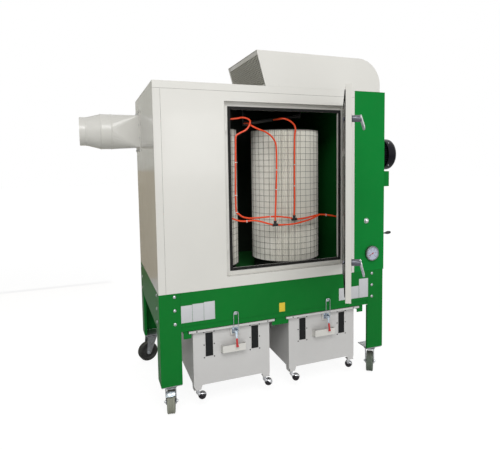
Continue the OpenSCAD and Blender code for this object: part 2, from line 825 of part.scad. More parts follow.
module bin_windows(i) {
  at_origin() color(black) for (s = [-1, 1])
    block([bin_x[i] + s * window_x - window_w / 2 - pane_margin, bin_y + bin_t,
        bin_rim_z - window_top - window_h - pane_margin],
      [bin_x[i] + s * window_x + window_w / 2 + pane_margin, bin_y + bin_t + 3,
        bin_rim_z - window_top + pane_margin]);
}

grip_w = 156;
grip_d = 45;
grip_low = 372;
grip_mid = 386;
grip_top = 432;
grip_t = 2;
// Bent sheet handle: an open-topped tray with a sloping underside
module grip_side() {
  polygon([[0, grip_low], [grip_d, grip_mid], [grip_d, grip_top], [grip_d - 14, grip_top],
    [0, grip_top - 8]]);
}
module bin_handle(i) {
  at_origin() color(cream) translate([bin_x[i] - grip_w / 2, bin_y, 0]) difference() {
    rotate([90, 0, 90]) mirror([1, 0, 0]) linear_extrude(grip_w) grip_side();
    translate([grip_t, 0, 0]) rotate([90, 0, 90]) mirror([1, 0, 0]) linear_extrude(grip_w - 2 * grip_t)
      polygon([[-e, grip_low + grip_t], [grip_d - grip_t, grip_mid + grip_t],
        [grip_d - grip_t, grip_top + e], [-e, grip_top + e]]);
  }
}

// Fixed part of the toggle latch: base, and the wire loop round the keeper
loop_w = 36;
wire_r = 2;
base_z = 495;
base_w = 42;
pivot_z = 516;
latch_y = bin_y - bin_rim_w - 11;
module bin_latch(i) {
  x = bin_x[i] + latch_x[i];
  loop_top = keeper_z + wire_r + 2;
  at_origin() color(zinc) {
    block([x - base_w / 2, bin_y - 15, base_z], [x + base_w / 2, bin_y - 12, base_z + 50]);
    for (s = [-1, 1])
      block([x + s * 11 - 1.5, latch_y - 5, pivot_z - 8], [x + s * 11 + 1.5, bin_y - 12, pivot_z + 8]);
    for (s = [-1, 1])
      translate([x + s * (loop_w / 2 - wire_r), latch_y, pivot_z])
        cylinder(r = wire_r, h = loop_top - pivot_z);
    rod_x(wire_r, x - loop_w / 2, x + loop_w / 2, latch_y, loop_top);
    rod_x(wire_r, x - loop_w / 2, x + loop_w / 2, latch_y, pivot_z);
  }
}

// Red-handled lever of the toggle latch, leaning out over the handle
toggle_l = 104;
toggle_tilt = 13;
module bin_latch_lever(i) {
  x = bin_x[i] + latch_x[i];
  at_origin() color("#c8201c") translate([x, latch_y, pivot_z]) difference() {
    union() {
      rod_x(5, -8, 8, 0, 0);
      rotate([-toggle_tilt, 0, 0]) {
        block([-7, -3, -48], [7, 2, 0]);
        block([-6, -5, -toggle_l], [6, 3, -46]);
      }
    }
    rod_x(wire_r + 0.05, -10, 10, 0, 0);
  }
}

// Hooded ball casters, each trailing to one side of its stem
ball_r = 26;
ball_in = 29;
ball_trail = 33;
ball_z = 93;
hood_tilt = 45;
// For each bin: how its front left, front right, rear left and rear right casters
// trail, and which way each hood leans back, as angles from the right
ball_turn = [[[17, 78], [15, 20], [40, 100], [-20, 50]], [[-10, 65], [54, 35], [25, 90], [10, 60]]];
module ball_caster(turns) {
  stem_top = bin_floor_z - foot_h;
  translate([0, 0, stem_top - 4]) cylinder(r = 16, h = 4);
  translate([0, 0, ball_z + 24]) cylinder(r = 11, h = stem_top - ball_z - 26);
  rotate([0, 0, turns[0]]) translate([0, 0, ball_z + 26]) rotate([0, 130, 0]) cylinder(r = 10, h = 24);
  translate([ball_trail * cos(turns[0]), ball_trail * sin(turns[0]), ball_z]) {
    sphere(r = ball_r);
    rotate([0, 0, turns[1]]) rotate([0, hood_tilt, 0]) difference() {
      sphere(r = ball_r + 2);
      translate([-ball_r - 3, -ball_r - 3, -ball_r - 3])
        cube([2 * ball_r + 6, 2 * ball_r + 6, ball_r + 3]);
    }
  }
}
module bin_ball_casters(i) {
  at_origin() color("silver") for (right = [0, 1], rear = [0, 1])
    translate([bin_x[i] + (right - 0.5) * (bin_w - 2 * ball_in),
        bin_y + ball_in + rear * (bin_d - 2 * ball_in), 0])
      ball_caster(ball_turn[i][right + 2 * rear]);
}

// ---- Leg casters ----

// Square plates welded under the legs, with a spare slot at each corner
plate_inset = 3;
slot_in = 20;
module caster_plates() {
  half = leg_mid - plate_inset;
  at_origin() color(zinc) for (c = caster_xy) translate([c[0], c[1], 0]) {
    difference() {
      block([-half, -half, leg_z - caster_plate_t], [half, half, leg_z]);
      for (right = [0, 1], rear = [0, 1]) mirror([right, 0, 0]) mirror([0, rear, 0])
        translate([half - slot_in, half - slot_in, leg_z - caster_plate_t / 2]) rotate([0, 0, 45])
          cube([22, 11, caster_plate_t + 2 * e], center = true);
    }
    translate([0, 0, fork_top_z + 1]) cylinder(r = 34, h = race_h + e);
  }
}

module on_caster(i) {
  at_origin() translate([caster_xy[i][0], caster_xy[i][1], 0]) rotate([0, 0, caster_turn[i]])
    children();
}

module fork(i) {
  side = wheel_w / 2 + fork_clear;
  axle_z = wheel_d / 2;
  on_caster(i) color(zinc) {
    translate([0, 0, fork_top_z - 8]) cylinder(r = 40, h = 8);
    translate([-side - fork_t, -30, fork_top_z - 8]) cube([2 * (side + fork_t), 78, fork_t + 1]);
    for (s = [-1, 1]) {
      translate([s * (side + fork_t / 2), 0, 0]) rotate([90, 0, 90])
        linear_extrude(fork_t, center = true) polygon([[-30, fork_top_z - 3], [48, fork_top_z - 3],
          [caster_trail + 18, axle_z - 6], [caster_trail + 8, axle_z - 18],
          [caster_trail - 12, axle_z - 16], [caster_trail - 20, axle_z]]);
    }
    translate([-side - fork_t - 5, caster_trail, axle_z]) rotate([0, 90, 0])
      cylinder(r = axle_r, h = 2 * (side + fork_t + 5));
  }
}

module wheel(i) {
  on_caster(i) color("#6d7060") translate([0, caster_trail, wheel_d / 2]) rotate([0, 90, 0])
    rotate_extrude($fn = 96) polygon([
      [axle_r + axle_clear, -wheel_w / 2 - 2], [18, -wheel_w / 2 - 2], [20, -wheel_w / 2 + 6],
      [wheel_d / 2 - 12, -wheel_w / 2 + 4], [wheel_d / 2 - 4, -wheel_w / 2],
      [wheel_d / 2, -wheel_w / 2 + 5], [wheel_d / 2, wheel_w / 2 - 5],
      [wheel_d / 2 - 4, wheel_w / 2], [wheel_d / 2 - 12, wheel_w / 2 - 4],
      [20, wheel_w / 2 - 6], [18, wheel_w / 2 + 2], [axle_r + axle_clear, wheel_w / 2 + 2]]);
}

leg(false, false);  // leg_front_left
leg(true, false);  // leg_front_right
leg(false, true);  // leg_rear_left
leg(true, true);  // leg_rear_right
skirt_front();
skirt_rear();
skirt_side(false);  // skirt_left
skirt_side(true);  // skirt_right
bin_rails();
hopper(0);  // hopper_left
hopper(1);  // hopper_right
chamber_floor();
left_wall();
rear_wall();
roof();
front_panel();
partition();
door_frame();
door_frame_seal();
fan_column();
motor_shelf();
fan_motor();
outlet_hood();
hood_sides();
outlet_grille();
pressure_gauge();
dome_button();
side_handle();
inlet_transition();
inlet_reducer();
filter(0);  // filter_left
filter(1);  // filter_right
air_fittings();
air_hoses();
door_hinge_plates();
door_panel();
door_gasket();
door_latch(0);  // door_latch_top
door_latch(1);  // door_latch_bottom
bin_box(0);  // bin_left_box
bin_windows(0);  // bin_left_windows
bin_handle(0);  // bin_left_handle
bin_latch(0);  // bin_left_latch
bin_latch_lever(0);  // bin_left_latch_lever
bin_ball_casters(0);  // bin_left_ball_casters
bin_box(1);  // bin_right_box
bin_windows(1);  // bin_right_windows
bin_handle(1);  // bin_right_handle
bin_latch(1);  // bin_right_latch
bin_latch_lever(1);  // bin_right_latch_lever
bin_ball_casters(1);  // bin_right_ball_casters
caster_plates();
fork(0);  // fork_front_left
fork(1);  // fork_front_right
fork(2);  // fork_rear_left
fork(3);  // fork_rear_right
wheel(0);  // wheel_front_left
wheel(1);  // wheel_front_right
wheel(2);  // wheel_rear_left
wheel(3);  // wheel_rear_right
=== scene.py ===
from math import atan2, cos, pi, radians, sin

import bmesh
import bpy
from mathutils import Matrix, Vector


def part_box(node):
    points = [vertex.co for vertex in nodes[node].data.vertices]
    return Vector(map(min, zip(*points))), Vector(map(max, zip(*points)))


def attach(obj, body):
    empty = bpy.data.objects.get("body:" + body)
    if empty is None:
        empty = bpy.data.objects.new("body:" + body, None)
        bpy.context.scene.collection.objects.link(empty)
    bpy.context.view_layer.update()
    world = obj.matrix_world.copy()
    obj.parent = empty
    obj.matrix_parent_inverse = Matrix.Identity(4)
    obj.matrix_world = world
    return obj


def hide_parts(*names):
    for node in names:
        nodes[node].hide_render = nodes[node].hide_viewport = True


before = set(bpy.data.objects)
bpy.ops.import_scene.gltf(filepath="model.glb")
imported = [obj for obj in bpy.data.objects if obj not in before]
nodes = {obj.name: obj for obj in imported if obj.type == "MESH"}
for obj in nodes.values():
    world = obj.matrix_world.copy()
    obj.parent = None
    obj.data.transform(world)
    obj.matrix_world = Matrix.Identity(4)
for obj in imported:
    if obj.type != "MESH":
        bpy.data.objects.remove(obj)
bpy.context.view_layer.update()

# -------- Frame, rails and hoppers
# Four legs folded from 4 mm steel plate stand at the corners, and joggled skirt panels
# bolt on behind their faces. Rails for the bins and the two hoppers hang inside, and
# all of it is sprayed with one coat of gloss green enamel.

FRAME_NODES = ["leg_front_left", "leg_front_right", "leg_rear_left", "leg_rear_right",
               "skirt_front", "skirt_rear", "skirt_left", "skirt_right", "bin_rails"]
HOPPER_NODES = ["hopper_left", "hopper_right", "chamber_floor"]
GREEN = (0.004, 0.172, 0.024, 1)
PRIMER = (0.20, 0.22, 0.21, 1)
SHEET_FOLD = 1.6  # outer radius of a folded edge, in millimetres

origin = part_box("leg_front_left")[0]


def place(x, y, z):
    """A point in millimetres from the cabinet's front left corner on the floor."""
    return Vector((origin[0] + x / 1000, origin[1] + y / 1000, z / 1000))


def fill(tree, made, inputs):
    """Sets a node's inputs; each is a value or another node's output."""
    for socket, value in inputs.items():
        if isinstance(value, bpy.types.NodeSocket):
            tree.links.new(value, made.inputs[socket])
        else:
            made.inputs[socket].default_value = value
    return made


def add(tree, kind, inputs=None, **settings):
    """One shader node."""
    made = tree.nodes.new(kind)
    for key, value in settings.items():
        setattr(made, key, value)
    return fill(tree, made, inputs or {})


def effect(name, takes, gives):
    """An empty shader group with named sockets, its inputs, and its output node."""
    tree = bpy.data.node_groups.new(name, "ShaderNodeTree")
    for socket, kind, value in takes:
        made = tree.interface.new_socket(socket, in_out="INPUT", socket_type="NodeSocket" + kind)
        made.default_value = value
    for socket, kind in gives:
        tree.interface.new_socket(socket, in_out="OUTPUT", socket_type="NodeSocket" + kind)
    return tree, tree.nodes.new("NodeGroupInput").outputs, tree.nodes.new("NodeGroupOutput")


def maths(tree, operation, one, two, clamp=False):
    made = add(tree, "ShaderNodeMath", {0: one, 1: two}, operation=operation, use_clamp=clamp)
    return made.outputs[0]


def beyond(tree, value, level, gain, clamp=True):
    """How far a value is past a level, times a gain."""
    return maths(tree, "MULTIPLY", maths(tree, "SUBTRACT", value, level), gain, clamp)


def mixed(tree, factor, one, two, blend="MIX"):
    return add(tree, "ShaderNodeMix", {0: factor, 6: one, 7: two}, data_type="RGBA",
               blend_type=blend).outputs[2]


def noise(tree, spot, scale, detail, **more):
    return add(tree, "ShaderNodeTexNoise",
               {"Vector": spot, "Scale": scale, "Detail": detail, **more}).outputs[0]


def surface_spot(tree):
    return add(tree, "ShaderNodeTexCoord").outputs["Object"]


# Sprayed paint: cloudy shade, uneven gloss and the fine orange peel of the coat
CLOUD_SCALE = 2.3
GLOSS_SCALE = 11.0
GLOSS_SWING = 0.06
sprayed, ins, out = effect(
    "sprayed_paint",
    [("Paint", "Color", GREEN), ("Roughness", "Float", 0.3), ("Mottle", "Float", 0.05),
     ("Peel size", "Float", 0.002)],
    [("Colour", "Color"), ("Roughness", "Float"), ("Height", "Float")])
spot = surface_spot(sprayed)
swing = beyond(sprayed, noise(sprayed, spot, CLOUD_SCALE, 3.0), 0.5,
               maths(sprayed, "MULTIPLY", ins["Mottle"], 4.0), False)
shade = maths(sprayed, "ADD", 1.0, swing)
gloss = beyond(sprayed, noise(sprayed, spot, GLOSS_SCALE, 4.0), 0.5, GLOSS_SWING, False)
peel_scale = maths(sprayed, "DIVIDE", 1.0, ins["Peel size"])
fill(sprayed, out, {"Colour": mixed(sprayed, 1.0, ins["Paint"], shade, "MULTIPLY"),
                    "Roughness": maths(sprayed, "ADD", ins["Roughness"], gloss),
                    "Height": noise(sprayed, spot, peel_scale, 1.0)})

# Dust that settles on what faces up, thicker in patches
DUST_SLOPE = (0.55, 2.2)  # how far up a face must look, and how soon its dust is full
DUST_PATCH = (14.0, 0.28)  # scale, and the share that lies on every face
settled, ins, out = effect(
    "settled_dust",
    [("Colour", "Color", GREEN), ("Roughness", "Float", 0.3), ("Dust", "Color", (.36, .34, .29, 1)),
     ("Amount", "Float", 0.3)],
    [("Colour", "Color"), ("Roughness", "Float")])
facing = add(settled, "ShaderNodeSeparateXYZ", {0: add(settled, "ShaderNodeNewGeometry").outputs["Normal"]})
up = beyond(settled, facing.outputs["Z"], *DUST_SLOPE)
patches = noise(settled, surface_spot(settled), DUST_PATCH[0], 6.0)
all_over = maths(settled, "MULTIPLY", patches, DUST_PATCH[1])
cover = maths(settled, "MULTIPLY", maths(settled, "ADD", up, all_over), ins["Amount"], True)
matt = maths(settled, "MULTIPLY", cover, 0.5)
fill(settled, out, {"Colour": mixed(settled, cover, ins["Colour"], ins["Dust"]),
                    "Roughness": maths(settled, "ADD", ins["Roughness"], matt)})

# Chips and rub marks where a corner is sharp
CHIP_REACH = 0.003  # metres in from the corner
CHIP_SCALE = 46.0
chipped, ins, out = effect(
    "edge_wear",
    [("Colour", "Color", GREEN), ("Bare", "Color", PRIMER), ("Amount", "Float", 0.4)],
    [("Colour", "Color")])
flat = add(chipped, "ShaderNodeVectorMath", {
    0: add(chipped, "ShaderNodeBevel", {"Radius": CHIP_REACH}, samples=4).outputs[0],
    1: add(chipped, "ShaderNodeNewGeometry").outputs["True Normal"]}, operation="DOT_PRODUCT")
sharp = beyond(chipped, 0.93, flat.outputs["Value"], 9.0)
spots = beyond(chipped, noise(chipped, surface_spot(chipped), CHIP_SCALE, 5.0), 0.54, 8.0)
wear = maths(chipped, "MULTIPLY", maths(chipped, "MULTIPLY", sharp, spots), ins["Amount"], True)
fill(chipped, out, {"Colour": mixed(chipped, wear, ins["Colour"], ins["Bare"])})


def material(name, **constants):
    """A material with one Principled shader, whose plain values are set on its own sockets."""
    made = bpy.data.materials.new(name)
    made.use_nodes = True
    shader = made.node_tree.nodes["Principled BSDF"]
    for socket, value in constants.items():
        shader.inputs[socket.replace("_", " ")].default_value = value
    return made, made.node_tree, shader


def place_group(tree, kind, **inputs):
    """One effect group in a material, with this material's own values."""
    made = tree.nodes.new("ShaderNodeGroup")
    made.node_tree = kind
    return fill(tree, made, {key.replace("_", " "): value for key, value in inputs.items()}).outputs


def raised(tree, shader, height, strength, distance):
    bump = add(tree, "ShaderNodeBump", {"Height": height, "Strength": strength, "Distance": distance})
    fill(tree, shader, {"Normal": bump.outputs[0]})


def coated(name, kind, coat, relief=None, dust=None, over=None, takes=None, **constants):
    """A material of one coat, an effect over its colour if one is named, and settled dust."""
    made, tree, shader = material(name, **constants)
    coat = place_group(tree, kind, **coat)
    colour, roughness = coat["Colour"], coat["Roughness"]
    if over:
        colour = place_group(tree, over, Colour=colour, **takes)["Colour"]
    if dust is not None:
        top = place_group(tree, settled, Colour=colour, Roughness=roughness, Amount=dust)
        colour, roughness = top["Colour"], top["Roughness"]
    fill(tree, shader, {"Base Color": colour, "Roughness": roughness})
    if relief:
        raised(tree, shader, coat["Height"], *relief)
    return made


def spray(paint, roughness, mottle, peel):
    return dict(Paint=paint, Roughness=roughness, Mottle=mottle, Peel_size=peel)


def painted(name, paint, roughness, mottle, peel, dust, wear=0.0, bare=PRIMER, **constants):
    """Sprayed or powder-coated metal with settled dust and, if asked, chipped edges."""
    return coated(name, sprayed, spray(paint, roughness, mottle, peel), (0.12, 0.0004), dust,
                  chipped if wear else None, dict(Bare=bare, Amount=wear), **constants)


def dress(names, finish, fold=None, angle=32):
    """Gives CAD nodes their material, and rounds their sharp edges to the radius of a fold."""
    for name in names:
        nodes[name].data.materials.clear()
        nodes[name].data.materials.append(finish)
        if fold:
            weld = nodes[name].modifiers.new("weld", "WELD")
            weld.merge_threshold = 0.00002
            edge = nodes[name].modifiers.new("fold", "BEVEL")
            edge.width = fold / 1000
            edge.segments = 2
            edge.limit_method = "ANGLE"
            edge.angle_limit = radians(angle)
            edge.use_clamp_overlap = True
            edge.harden_normals = True


green_enamel = painted("green_enamel", GREEN, 0.36, 0.06, 0.0016, 0.06, 0.4,
                       Specular_IOR_Level=0.06)
dress(FRAME_NODES, green_enamel, SHEET_FOLD)
dress(HOPPER_NODES, green_enamel)


def block(mesh, low, high, edge=0.0, turn=None):
    """A box between two corners in millimetres, with rounded edges."""
    made = bmesh.ops.create_cube(mesh, size=1)["verts"]
    for v in made:
        v.co = Vector([low[i] + (v.co[i] + 0.5) * (high[i] - low[i]) for i in range(3)])
        if turn:
            v.co = turn @ v.co
    if edge:
        edges = list({e for v in made for e in v.link_edges})
        bmesh.ops.bevel(mesh, geom=edges, offset=edge, segments=2, profile=0.5, affect="EDGES")


def at(spot, angle, axis):
    """A move to a point, with a turn about an axis there."""
    return Matrix.Translation(spot) @ Matrix.Rotation(angle, 4, axis)


# Directions: X is to the right, Y to the back, Z up
FRONT = (0, -1, 0)
RIGHT = (1, 0, 0)


def turned(mesh, profile, centre, axis=(0, 0, 1), steps=32, turn=None):
    """A turned shape about an axis; profile is (distance along the axis, radius)."""
    across = Vector(axis).to_track_quat("Z", "Y").to_matrix()
    rings = []
    for along, radius in profile:
        count = steps if radius > 0 else 1
        ring = [Vector((radius * cos(k * 2 * pi / steps), radius * sin(k * 2 * pi / steps), along))
                for k in range(count)]
        ring = [Vector(centre) + across @ p for p in ring]
        rings.append([mesh.verts.new(turn @ p if turn else p) for p in ring])
    for one, two in zip(rings, rings[1:]):
        for k in range(steps):
            quad = [one[k % len(one)], one[(k + 1) % len(one)],
                    two[(k + 1) % len(two)], two[k % len(two)]]
            quad = list(dict.fromkeys(quad))
            if len(quad) > 2:
                mesh.faces.new(quad)


def stand(name, data):
    """An object with this data, in the scene."""
    made = bpy.data.objects.new(name, data)
    bpy.context.collection.objects.link(made)
    return made


def closed(name, mesh, finish):
    """Mesh data with its material, once its bmesh is done."""
    data = bpy.data.meshes.new(name)
    mesh.to_mesh(data)
    mesh.free()
    data.materials.append(finish)
    return data


def piece(name, mesh, finish, body="cabinet", turn=None, smooth=38, stands_for=None):
    """Makes the piece from its mesh in millimetres and lets it ride on its body."""
    bmesh.ops.recalc_face_normals(mesh, faces=mesh.faces)
    for v in mesh.verts:
        v.co = place(*(turn @ v.co if turn else v.co))
    data = closed(name, mesh, finish)
    data.shade_smooth()
    data.set_sharp_from_angle(angle=radians(smooth))
    made = stand(name, data)
    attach(made, body)
    if stands_for:
        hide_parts(stands_for)
    return made

# Domed carriage bolts, zinc plated, three down each joint between a leg and a skirt
ZINC = (0.55, 0.57, 0.60, 1)
FRAME_WIDE = 1625
FRAME_DEEP = 1055
BOLT_IN = 95  # from the frame's corner to the line of bolts
BOLT_ROWS = [617, 703, 789]
BOLT_HEAD = [(0, 11), (1.2, 11), (3.6, 9), (5.2, 5.5), (5.8, 0)]
BLOOM_SCALE = 60.0
GRAIN_SCALE = 700.0

plated, ins, out = effect(
    "zinc_plate",
    [("Metal", "Color", ZINC), ("Dull", "Color", (0.33, 0.34, 0.34, 1)), ("Roughness", "Float", 0.3)],
    [("Colour", "Color"), ("Roughness", "Float"), ("Height", "Float")])
spot = surface_spot(plated)
haze = beyond(plated, noise(plated, spot, BLOOM_SCALE, 6.0), 0.42, 3.0)
matt = maths(plated, "MULTIPLY", haze, 0.2)
fill(plated, out, {"Colour": mixed(plated, haze, ins["Metal"], ins["Dull"]),
                   "Roughness": maths(plated, "ADD", ins["Roughness"], matt),
                   "Height": noise(plated, spot, GRAIN_SCALE, 2.0)})


def plated_metal(name, metal, roughness, dull=(0.33, 0.34, 0.34, 1), dust=0.15, relief=(0.1, 0.0003)):
    return coated(name, plated, dict(Metal=metal, Roughness=roughness, Dull=dull), relief, dust,
                  Metallic=1.0)


zinc_plating = plated_metal("zinc_plating", ZINC, 0.32)

mesh = bmesh.new()
for z in BOLT_ROWS:
    for far, out in ((0, -1), (1, 1)):
        for x in (BOLT_IN, FRAME_WIDE - BOLT_IN):
            turned(mesh, BOLT_HEAD, (x, far * FRAME_DEEP, z), (0, out, 0), 20)
        for y in (BOLT_IN, FRAME_DEEP - BOLT_IN):
            turned(mesh, BOLT_HEAD, (far * FRAME_WIDE, y, z), (out, 0, 0), 20)
piece("frame_bolts", mesh, zinc_plating, smooth=60)

# Bare label plates of white film, stuck on the front skirt, and one small yellow one
LABEL_T = 0.8
LABEL_RIM = 3.2
WHITE_LABELS = [(133, 618, 203, 727), (204.5, 618, 276, 731), (277.5, 618, 348, 735),
                (1254, 618, 1336, 706), (1338, 618, 1419, 708), (1421, 618, 1498, 757)]
YELLOW_LABEL = (792, 600, 834, 661)
WHITE_FILM = (0.58, 0.59, 0.61, 1)
YELLOW_FILM = (0.76, 0.56, 0.012, 1)


def film(name, colour):
    return coated(name, sprayed, spray(colour, 0.38, 0.04, 0.004), (0.1, 0.0002), 0.3,
                  Coat_Weight=0.3, Coat_Roughness=0.2)


def label_plates(name, plates, colour):
    """Thin plates with a raised border, on the front skirt's face."""
    mesh = bmesh.new()
    for x0, z0, x1, z1 in plates:
        block(mesh, (x0, -LABEL_T, z0), (x1, 0.05, z1), 0.3)
        inner = z0 + LABEL_RIM, z1 - LABEL_RIM
        for left, right, low, high in ((x0, x1, z0, inner[0]), (x0, x1, inner[1], z1),
                                       (x0, x0 + LABEL_RIM, *inner), (x1 - LABEL_RIM, x1, *inner)):
            block(mesh, (left + 0.4, -LABEL_T - 0.25, low + 0.4),
                  (right - 0.4, -LABEL_T + 0.1, high - 0.4), 0.1)
    piece(name, mesh, film(name, colour))


label_plates("front_labels", WHITE_LABELS, WHITE_FILM)
label_plates("yellow_label", [YELLOW_LABEL], YELLOW_FILM)

# -------- Cabinet walls and roof
# Sheet-steel walls with folded front strips, powder coated in glossy cream outside, with a
# near-black painted shade on their faces inside the filter chamber. The partition to the fan
# column is green, darkened as painted shade.

CREAM = (0.70, 0.69, 0.65, 1)
CREAM_BARE = (0.42, 0.41, 0.37, 1)
# Near-black painted shade for the walls' faces inside the filter chamber
INSIDE_SHADE = (0.018, 0.026, 0.018, 1)
SHADED_GREEN = (0.003, 0.105, 0.015, 1)
CABINET_MIDDLE = place(690, 527, 1450)

# Which faces of a wall look into the chamber, to give them a near-black painted shade
painted_inside_shade, ins, out = effect(
    "chamber_painted_shade",
    [("Colour", "Color", CREAM), ("Inside", "Color", INSIDE_SHADE), ("Middle", "Vector", (0, 0, 0))],
    [("Colour", "Color")])
geometry = add(painted_inside_shade, "ShaderNodeNewGeometry").outputs
towards = add(painted_inside_shade, "ShaderNodeVectorMath", {0: ins["Middle"], 1: geometry["Position"]},
              operation="SUBTRACT")
facing = add(painted_inside_shade, "ShaderNodeVectorMath", {0: towards.outputs[0], 1: geometry["True Normal"]},
             operation="DOT_PRODUCT")
shaded_faces = maths(painted_inside_shade, "GREATER_THAN", facing.outputs["Value"], 0.0)
fill(painted_inside_shade, out, {"Colour": mixed(painted_inside_shade, shaded_faces, ins["Colour"], ins["Inside"])})

CREAM_GLOSS = dict(Specular_IOR_Level=0.4, Coat_Weight=0.15, Coat_Roughness=0.08)
cream_coat = painted("cream_coat", CREAM, 0.28, 0.02, 0.0012, 0.12, 0.25, CREAM_BARE, **CREAM_GLOSS)


def coat_with_inside_shade(name, roughness, peel):
    return coated(name, sprayed, spray(CREAM, roughness, 0.02, 0.0012), (peel, 0.0003), 0.12,
                  painted_inside_shade, dict(Inside=INSIDE_SHADE, Middle=CABINET_MIDDLE), **CREAM_GLOSS)


# The walls are cream outside and carry painted shade on their faces inside the chamber
dress(["rear_wall", "roof", "front_panel"], coat_with_inside_shade("shaded_inside_wall_paint", 0.30, 0.12), 1.1)
dress(["left_wall"], coat_with_inside_shade("polished_shaded_inside_wall_paint", 0.13, 0.05), 1.1)
# Painted shade: the partition is a darker green than the frame, for the shade inside the chamber
dress(["partition"], painted("shaded_green", SHADED_GREEN, 0.5, 0.06, 0.0016, 0.1,
                             Specular_IOR_Level=0.06))

# -------- Door frame and seal
# A folded sleeve round the door opening with a lip at its back. A sponge-rubber seal
# is stuck round the lip's inner edge. A black strip behind it is painted shade in the gap round the seal.

dress(["door_frame"], cream_coat, 1.2)


def rubber(name, colour, roughness, grain_size, dust, **constants):
    """Moulded or sponge rubber with a fine matt grain."""
    return coated(name, sprayed, spray(colour, roughness, 0.12, grain_size), (0.35, 0.0006), dust,
                  Specular_IOR_Level=0.35, **constants)


sponge_rubber = rubber("sponge_rubber", (0.006, 0.006, 0.006, 1), 0.75, 0.0015, 0.04)
dress(["door_frame_seal", "door_gasket"], sponge_rubber, 3.0)

OPENING = (435, 1285, 881, 1994)  # X and Z of its low and high edges
SEAL_SHADE = (28, 35)  # from the edge of the opening to its own edges
SEAL_SHADE_HINGE = (0.5, 8)  # the same at the hinges' side
SEAL_SHADE_Y = (29.5, 34.1)
x0, x1, z0, z1 = OPENING
near, far = SEAL_SHADE
front, back = SEAL_SHADE_Y
# The black strip round the seal is painted shade
mesh = bmesh.new()
block(mesh, (x0 + near, front, z0 + near), (x0 + far, back, z1 - near), 1)
block(mesh, (x1 - SEAL_SHADE_HINGE[1], front, z0 + near), (x1 - SEAL_SHADE_HINGE[0], back, z1 - near), 1)
for low, high in ((z0 + near, z0 + far), (z1 - far, z1 - near)):
    block(mesh, (x0 + far - 1, front, low), (x1 - SEAL_SHADE_HINGE[1] + 1, back, high), 1)
piece("seal_shade_band", mesh, sponge_rubber)

# -------- Fan column
# The fan stands in a green sheet-steel column on the cabinet's right. A cover on its
# right side is fixed with screws round its edge, and a bracket carries the motor.

COLUMN_GREEN = (0.003, 0.205, 0.032, 1)
COVER = (1632, 130, 900, 925, 1420)  # X, then Y and Z of the low corner and of the high one
COVER_T = 2.5
SCREW_IN = 18  # from the cover's edge
PAN_HEAD = [(0, 6), (1.5, 5.8), (3, 3.6), (3.2, 2.2), (2.2, 2.0), (2.2, 0)]

column_green = painted("column_green", COLUMN_GREEN, 0.36, 0.06, 0.0016, 0.05, 0.4,
                       Specular_IOR_Level=0.06)
dress(["fan_column", "motor_shelf"], column_green, 1.8)

x, y0, z0, y1, z1 = COVER
mesh = bmesh.new()
block(mesh, (x - 0.1, y0, z0), (x + COVER_T, y1, z1), 1.0)
piece("column_cover", mesh, column_green)
mesh = bmesh.new()
y0, z0, y1, z1 = y0 + SCREW_IN, z0 + SCREW_IN, y1 - SCREW_IN, z1 - SCREW_IN
for k in range(5):
    across, up = y0 + k * (y1 - y0) / 4, z0 + k * (z1 - z0) / 4
    for y, z in ((across, z0), (across, z1), (y0, up), (y1, up)):
        turned(mesh, PAN_HEAD, (x + COVER_T - 0.1, y, z), RIGHT, 14)
piece("cover_screws", mesh, zinc_plating)

# -------- Fan motor
# A flange-mounted motor with a finned cast barrel, two feet on the bracket, and a
# pressed fan cowl with a slotted end held by four screws. Sprayed satin black.

MOTOR_AXIS = (320, 1661)  # Y and Z
MOTOR_X = (1632, 1902)
MOTOR_R = 122
BARREL_R = 96
FIN_R = 112
FIN_HALF = 1.4  # half its thickness
FINS = 40
COWL_X = 1817
COWL_SLOTS = (78, 66, 54, 42)
FEET_X = (30, 150)  # from the flange
FEET_Y = (-80, 50)
FOOT_WIDE = 30
FLANGE_BOLT_R = 107

black_paint = painted("black_paint", (0.006, 0.006, 0.010, 1), 0.25, 0.1, 0.002, 0.02,
                      Specular_IOR_Level=0.14)
y, z = MOTOR_AXIS
x0, x1 = MOTOR_X
mesh = bmesh.new()
turned(mesh, [(0, 0), (0, MOTOR_R - 1), (2, MOTOR_R), (11, MOTOR_R), (13, MOTOR_R - 2), (14, BARREL_R)],
       (x0, y, z), RIGHT, 64)
turned(mesh, [(13, BARREL_R), (187, BARREL_R)], (x0, y, z), RIGHT, 64)
for k in range(FINS):
    around = at((0, y, z), 2 * pi * k / FINS, "X")
    block(mesh, (x0 + 22, -FIN_HALF, BARREL_R - 2), (COWL_X + 6, FIN_HALF, FIN_R), 0, around)
for side in FEET_Y:
    block(mesh, (x0 + FEET_X[0], y + side, z - MOTOR_R - 11),
          (x0 + FEET_X[1], y + side + FOOT_WIDE, z - BARREL_R + 22), 2)
piece("motor_body", mesh, black_paint, stands_for="fan_motor")

mesh = bmesh.new()
cowl = x1 - COWL_X
shell = [(0, MOTOR_R - 1.5), (0, MOTOR_R), (cowl - 30, MOTOR_R), (cowl - 18, MOTOR_R - 3),
         (cowl - 8, MOTOR_R - 11), (cowl - 2, MOTOR_R - 24), (cowl - 0.8, MOTOR_R - 34)]
for r in COWL_SLOTS:
    shell += [(cowl - 0.5, r + 6), (cowl - 4, r + 5.4), (cowl - 4, r + 1.2), (cowl - 0.5, r)]
turned(mesh, shell + [(cowl, 24), (cowl, 0)], (COWL_X, y, z), RIGHT, 72)
piece("motor_cowl", mesh, black_paint)

mesh = bmesh.new()
for k in range(4):
    a = radians(45 + 90 * k)
    turned(mesh, [(0, 7), (4, 6.4), (6, 0)], (COWL_X + 20, y + MOTOR_R * cos(a), z + MOTOR_R * sin(a)),
           (0, cos(a), sin(a)), 14)
    turned(mesh, [(0, 9), (7, 9), (8, 0)],
           (x0 + 14, y + FLANGE_BOLT_R * cos(a), z + FLANGE_BOLT_R * sin(a)), RIGHT, 6)
piece("motor_screws", mesh, zinc_plating)

